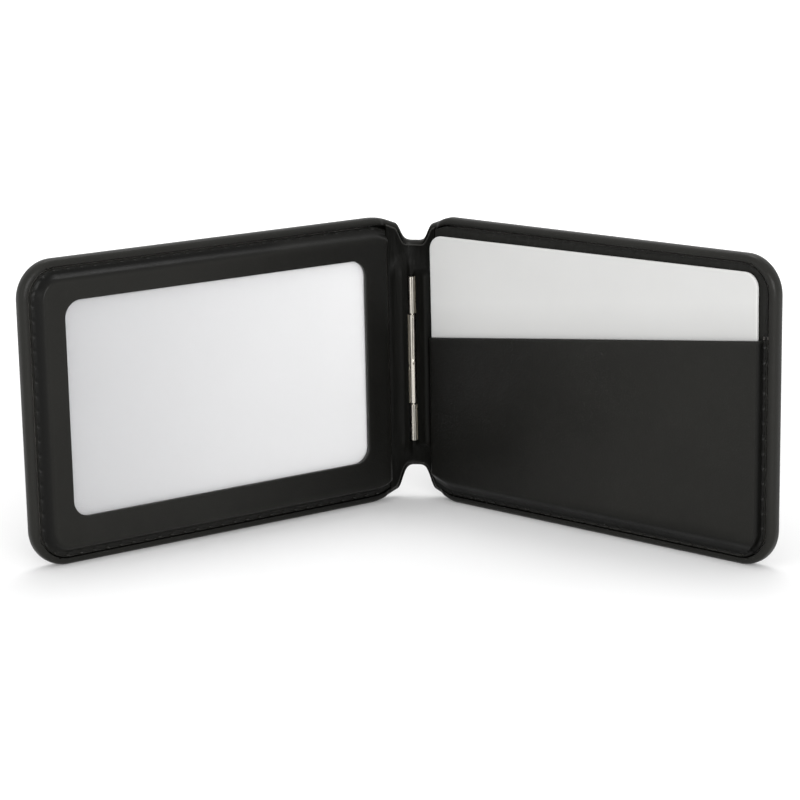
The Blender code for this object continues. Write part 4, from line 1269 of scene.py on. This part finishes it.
def leaf_plate(knuckles):
    """Flat layout of a leaf, with tongues at its own knuckles and holes for its rivets."""
    metal = hinge_sizes()
    rivets = [HINGE_LOW + metal.rivet_edge, (HINGE_LOW + HINGE_HIGH) / 2, HINGE_HIGH - metal.rivet_edge]
    margin = RIVET_MARGIN * metal.rivet_hole
    shape = flat_rectangle(metal.leaf_cut / 10, metal.leaf_end, HINGE_LOW, HINGE_HIGH)
    slice_across(shape, [metal.leaf_cut, metal.leaf_bend, metal.leaf_foot,
                         metal.rivet_across - margin, metal.rivet_across + margin])
    ends = {end for span in knuckles for end in span if HINGE_LOW + TINY < end < HINGE_HIGH - TINY}
    slice_upright(shape, [*ends, *[height + step for height in rivets for step in (-margin, margin)]])
    clear_faces(shape, lambda across, height: across < metal.leaf_cut
                and not any(low < height < high for low, high in knuckles))
    for height in rivets:
        rivet_hole(shape, metal.rivet_across, height)
    return shape


def add_knuckle(shape, low, high):
    """One bored knuckle with softened ends, spun round the hinge's axis."""
    metal = hinge_sizes()
    soft = metal.knuckle_round
    section = ((metal.bore, low), (metal.knuckle - soft, low), (metal.knuckle, low + soft),
               (metal.knuckle, high - soft), (metal.knuckle - soft, high), (metal.bore, high))
    corners = [shape.verts.new(HINGE + Vector((0, -radius, height))) for radius, height in section]
    edges = [shape.edges.new((first, second)) for first, second in zip(corners, corners[1:] + corners[:1])]
    bmesh.ops.spin(shape, geom=corners + edges, cent=HINGE, axis=(0, 0, 1), angle=2 * math.pi,
                   steps=KNUCKLE_STEPS, use_merge=True)


def press_marks(shape, marks):
    """Presses grooves into the knuckles and marks them with painted shade; each has an angle from the front,
    its two ends and a depth.
    """
    metal = hinge_sizes()
    rows = {low + (high - low) * step / MARK_ROWS
            for _, low, high, _ in marks for step in range(MARK_ROWS + 1)}
    rows |= {end + step for _, low, high, _ in marks for end in (low, high) for step in (-PIT_HALF, PIT_HALF)}
    slice_upright(shape, sorted(rows))
    folded = shape.verts.layers.float["folded"]
    for corner in shape.verts:
        x, y, height = corner.co - HINGE
        if abs(math.hypot(x, y) - metal.knuckle) > TINY:
            continue
        turn = math.atan2(x, -y)
        sunk = 0.0
        for front_turn, low, high, depth in marks:
            away = math.hypot(metal.knuckle * (turn - front_turn), max(low - height, 0.0, height - high))
            sunk = max(sunk, depth * (1 - eased(away / metal.groove_reach)))
        corner.co -= Vector((x, y, 0)) * sunk / metal.knuckle
        # Painted shade in the seam and the pit, fully dark in the deeper pit.
        corner[folded] = 0.5 * sunk / metal.groove


def hinge_leaf(name, body, knuckles, marks, replaced):
    """One half of the hinge: plate, tongues and rolled knuckles with their seam."""
    metal = hinge_sizes()
    shape = leaf_plate(knuckles)
    for corner in shape.verts:
        corner.co.y = leaf_depth(corner.co.x)
    put_on_panel(shape.verts, SIDES[body])
    thicken(shape, metal.leaf)
    for low, high in knuckles:
        add_knuckle(shape, low, high)
    press_marks(shape, marks)
    nickel = metal_material(f"{name}_nickel", colours().nickel, 0.26, (2, 2, 0.3), relief=0.06)
    piece = as_piece(name, shape, [nickel], smooth_angle=35)
    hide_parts(replaced)
    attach(piece, body)


def hinge_leaves():
    """Both halves of the hinge; the pocket's half carries the lower and the upper knuckle."""
    metal = hinge_sizes()
    middle, half = (HINGE_LOW + HINGE_HIGH) / 2, metal.middle_knuckle / 2
    lower = (HINGE_LOW, middle - half - metal.knuckle_gap)
    upper = (middle + half + metal.knuckle_gap, HINGE_HIGH)
    hinge_leaf("pocket_hinge_leaf", POCKET, (lower, upper),
               [(metal.groove_turn, HINGE_LOW, HINGE_HIGH, metal.groove)], "hinge_leaf_pocket_side")
    pit = middle - metal.pit_drop
    hinge_leaf("cover_hinge_leaf", COVER, ((middle - half, middle + half),),
               [(metal.groove_turn, middle, middle + half, metal.groove),
                (metal.pit_turn, pit - PIT_HALF, pit + PIT_HALF, 2 * metal.groove)], "hinge_leaf_cover_side")


def card_piece():
    """Blank card with softened edges, leaning a little in its pocket."""
    metal = hinge_sizes()
    shape = flat_rectangle(0, metal.card_length, 0, metal.card_height)
    round_corners(shape, [(x, z) for x in (0, metal.card_length) for z in (0, metal.card_height)],
                  metal.card_corner, 0.0003)
    for corner, _, _, inside in both_layers(shape):
        if inside:
            corner.co.y = metal.card_thickness
    rim = [edge for edge in shape.edges if abs(edge.verts[0].co.y - edge.verts[1].co.y) < TINY]
    bmesh.ops.bevel(shape, geom=rim, offset=metal.card_round, offset_type="OFFSET", affect="EDGES",
                    segments=4, profile=0.5, material=-1)
    for face in sorted(shape.faces, key=lambda face: face.calc_area())[-2:]:
        inset_rings(shape, face, [0.0003])
    lean = Matrix.Rotation(-metal.card_tilt, 3, "Y")
    bmesh.ops.rotate(shape, verts=shape.verts, cent=(0, 0, 0), matrix=lean)
    place = (metal.card_from_hinge, metal.card_front, metal.card_floor)
    bmesh.ops.translate(shape, verts=shape.verts, vec=place)
    put_on_panel(shape.verts, 1)
    piece = as_piece("pocket_card", shape, [card_material()])
    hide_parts("card")
    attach(piece, "card")


# Stage

CAMERA_PLACE = Vector((0.03259, -0.55561, 0.15238))
CAMERA_YAW = math.radians(3.665)
CAMERA_PITCH = math.radians(13.122)
CAMERA_ROLL = math.radians(-1.081)
CAMERA_LENS = 115.70
WHITE = (1, 1, 1, 1)
LIGHTS = (  # name, place, aim, width and height in metres, power in watts
    ("key_light", (0.25, -0.9, 0.3), (0, 0, 0.03), (0.5, 0.4), 5.2),
    ("fill_light", (-0.7, -0.6, 0.3), (0, 0, 0.03), (0.5, 0.4), 0.8),
    ("back_light", (0.0, 0.45, 1.1), (0, 0, 0), (0.5, 0.5), 3.0),
)


def photo_camera():
    """Camera at the photograph's angle."""
    data = bpy.data.cameras.new("photo_camera")
    data.lens = CAMERA_LENS
    data.sensor_width = 36
    data.sensor_fit = "HORIZONTAL"
    data.clip_start = 0.01
    data.clip_end = 20
    camera = bpy.data.objects.new("photo_camera", data)
    bpy.context.collection.objects.link(camera)
    camera.matrix_world = (Matrix.Translation(HINGE + CAMERA_PLACE) @ Matrix.Rotation(CAMERA_YAW, 4, "Z")
                           @ Matrix.Rotation(math.pi / 2 - CAMERA_PITCH, 4, "X")
                           @ Matrix.Rotation(CAMERA_ROLL, 4, "Z"))
    bpy.context.scene.camera = camera


def soft_light(name, place, aim, area, power):
    """Rectangular studio light that looks at a place."""
    data = bpy.data.lights.new(name, "AREA")
    data.shape = "RECTANGLE"
    data.size, data.size_y = area
    data.energy = power
    light = bpy.data.objects.new(name, data)
    bpy.context.collection.objects.link(light)
    light.location = place
    light.rotation_euler = (Vector(aim) - Vector(place)).to_track_quat("-Z", "Y").to_euler()


def seen_directly(nodes):
    """1 for camera, glossy and transmission rays, and 0 for the rest."""
    path = nodes.add("ShaderNodeLightPath").outputs
    both = nodes.maths("MAXIMUM", path["Is Camera Ray"], path["Is Glossy Ray"])
    return nodes.maths("MAXIMUM", both, path["Is Transmission Ray"])


def studio_floor():
    """Plain pale floor that keeps the wallet's shadow, and is lifted to white far from it."""
    shape = bmesh.new()
    bmesh.ops.create_grid(shape, x_segments=1, y_segments=1, size=4)
    nodes = new_material("studio_floor")
    away = nodes.add("ShaderNodeVectorMath", {0: nodes.place()}, operation="LENGTH").outputs["Value"]
    lift = nodes.maths("MULTIPLY", seen_directly(nodes), nodes.ramp(away, 0.08, 0.75, start=40, end=600))
    diffuse = nodes.add("ShaderNodeBsdfDiffuse", {"Color": (*colours().floor, 1.0)})
    glow = nodes.add("ShaderNodeEmission", {"Strength": lift})
    both = nodes.add("ShaderNodeAddShader", {0: diffuse.outputs[0], 1: glow.outputs[0]})
    nodes.add("ShaderNodeOutputMaterial", {"Surface": both.outputs[0]})
    floor = as_piece("studio_floor", shape, [nodes.block])


def studio_world():
    """Soft surrounding light, white where it is seen."""
    nodes = Nodes(bpy.data.worlds.new("studio_world"))
    direction = nodes.add("ShaderNodeTexCoord").outputs["Generated"]
    rise = nodes.maths("POWER", nodes.axis(direction, "Z"), 2.0)
    sky = nodes.ramp(rise, 0.22, 1.5, start=0.0, end=1.0)
    level = nodes.add("ShaderNodeMix", {"Factor": seen_directly(nodes), "A": sky, "B": 1.0})
    background = nodes.add("ShaderNodeBackground", {"Strength": level.outputs["Result"], "Color": WHITE})
    nodes.add("ShaderNodeOutputWorld", {"Surface": background.outputs[0]})
    bpy.context.scene.world = nodes.block


# Operators

class WALLET_OT_stage(bpy.types.Operator):
    """Sets up the camera, the lights and the floor"""
    bl_idname = "wallet.stage"
    bl_label = "Stage"

    def execute(self, context):
        context.scene.view_settings.view_transform = "Standard"
        photo_camera()
        studio_floor()
        studio_world()
        for light in LIGHTS:
            soft_light(*light)
        return {"FINISHED"}


class WALLET_OT_outer_leather(bpy.types.Operator):
    """Makes the outer leather with its rolled rims and spine"""
    bl_idname = "wallet.outer_leather"
    bl_label = "Outer Leather"

    def execute(self, context):
        outer_leather()
        return {"FINISHED"}


class WALLET_OT_window_frame(bpy.types.Operator):
    """Makes the front leather with the window"""
    bl_idname = "wallet.window_frame"
    bl_label = "Window Frame"

    def execute(self, context):
        window_frame_leather()
        return {"FINISHED"}


class WALLET_OT_pocket(bpy.types.Operator):
    """Makes the pocket's leather"""
    bl_idname = "wallet.pocket"
    bl_label = "Pocket"

    def execute(self, context):
        pocket_front_leather()
        return {"FINISHED"}


class WALLET_OT_linings(bpy.types.Operator):
    """Makes the lining behind the card and the lining across the spine"""
    bl_idname = "wallet.linings"
    bl_label = "Linings"

    def execute(self, context):
        pocket_lining_sheet()
        spine_lining_sheet()
        return {"FINISHED"}


class WALLET_OT_stitches(bpy.types.Operator):
    """Sews both panels; above the pocket's mouth the thread lies on the lining"""
    bl_idname = "wallet.stitches"
    bl_label = "Stitches"

    def execute(self, context):
        opening = openings()
        lift = 0.00002
        on_leather = sizes().seam_depth + lift
        on_lining = opening.lining_front + lift
        top = PANEL_HEIGHT - opening.mouth_drops[1]
        panel_stitches("cover_stitches", COVER, lambda height: on_leather, "cover_seam_thread")
        panel_stitches("pocket_stitches", POCKET,
                       lambda height: on_leather if height < top else on_lining, "pocket_seam_thread")
        return {"FINISHED"}


class WALLET_OT_pads(bpy.types.Operator):
    """Makes the foam pads under the outer leather"""
    bl_idname = "wallet.pads"
    bl_label = "Foam Pads"

    def execute(self, context):
        foam_pad_piece("pocket_pad", POCKET, "pocket_foam_pad")
        foam_pad_piece("cover_pad", COVER, "cover_foam_pad")
        return {"FINISHED"}


class WALLET_OT_hinge_finish(bpy.types.Operator):
    """Makes the hinge and finishes its pin, the rivets and the magnets"""
    bl_idname = "wallet.hinge_finish"
    bl_label = "Metal Finishes"

    def execute(self, context):
        hinge_leaves()
        give_material(metal_material("brushed_nickel", colours().nickel, 0.3, relief=0.1), "hinge_pin",
                      *[f"{panel}_rivet_{number}" for panel in ("pocket", "cover") for number in (1, 2, 3)])
        give_material(metal_material("magnet_plating", colours().magnet, 0.28, (3, 3, 3)), "alignment_magnet",
                      *[f"ring_magnet_{number:02d}" for number in range(1, 17)],
                      *[f"{panel}_closure_magnet_{place}" for panel in ("pocket", "cover")
                        for place in ("lower", "upper")])
        give_material(metal_material("shield_steel", colours().shield, 0.35, (1, 1, 8)), "shield_ring")
        return {"FINISHED"}


class WALLET_OT_card_and_window(bpy.types.Operator):
    """Makes the card and finishes the window's film and insert, and the boards"""
    bl_idname = "wallet.card_and_window"
    bl_label = "Card And Window"

    def execute(self, context):
        card_piece()
        give_material(insert_material(), "window_insert")
        give_material(film_material(), "window_film")
        board = fibre_material("pressed_fibre_board", colours().board, 2.5, 6.0, 0.75, gloss=0.85,
                               relief=(0.5, 0.0001))
        give_material(board, "pocket_board", "cover_board")
        return {"FINISHED"}


OPERATORS = (WALLET_OT_stage, WALLET_OT_outer_leather, WALLET_OT_window_frame, WALLET_OT_pocket,
             WALLET_OT_linings, WALLET_OT_stitches, WALLET_OT_pads, WALLET_OT_hinge_finish,
             WALLET_OT_card_and_window)
GROUPS = {"wallet_sizes": WalletSizes, "wallet_openings": WalletOpenings, "wallet_hinge": WalletHinge,
          "wallet_stitching": WalletStitching, "wallet_colours": WalletColours}


class WALLET_PT_panel(bpy.types.Panel):
    """Lists the wallet's steps and sizes"""
    bl_idname = "WALLET_PT_panel"
    bl_label = "Magnetic Phone Wallet"
    bl_space_type = "VIEW_3D"
    bl_region_type = "UI"
    bl_category = "Wallet"

    def draw(self, context):
        for step in OPERATORS:
            self.layout.operator(step.bl_idname)
        for name, group in GROUPS.items():
            box = self.layout.box()
            for setting in group.__annotations__:
                box.prop(getattr(context.scene, name), setting)


def register():
    for group in GROUPS.values():
        bpy.utils.register_class(group)
    for name, group in GROUPS.items():
        setattr(bpy.types.Scene, name, bpy.props.PointerProperty(type=group))
    for step in OPERATORS:
        bpy.utils.register_class(step)
    bpy.utils.register_class(WALLET_PT_panel)


def unregister():
    bpy.utils.unregister_class(WALLET_PT_panel)
    for step in reversed(OPERATORS):
        bpy.utils.unregister_class(step)
    for name, group in reversed(GROUPS.items()):
        delattr(bpy.types.Scene, name)
        bpy.utils.unregister_class(group)


def main():
    """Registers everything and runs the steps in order."""
    register()
    for step in OPERATORS:
        family, name = step.bl_idname.split(".")
        getattr(getattr(bpy.ops, family), name)()


if __name__ == "__main__":
    main()
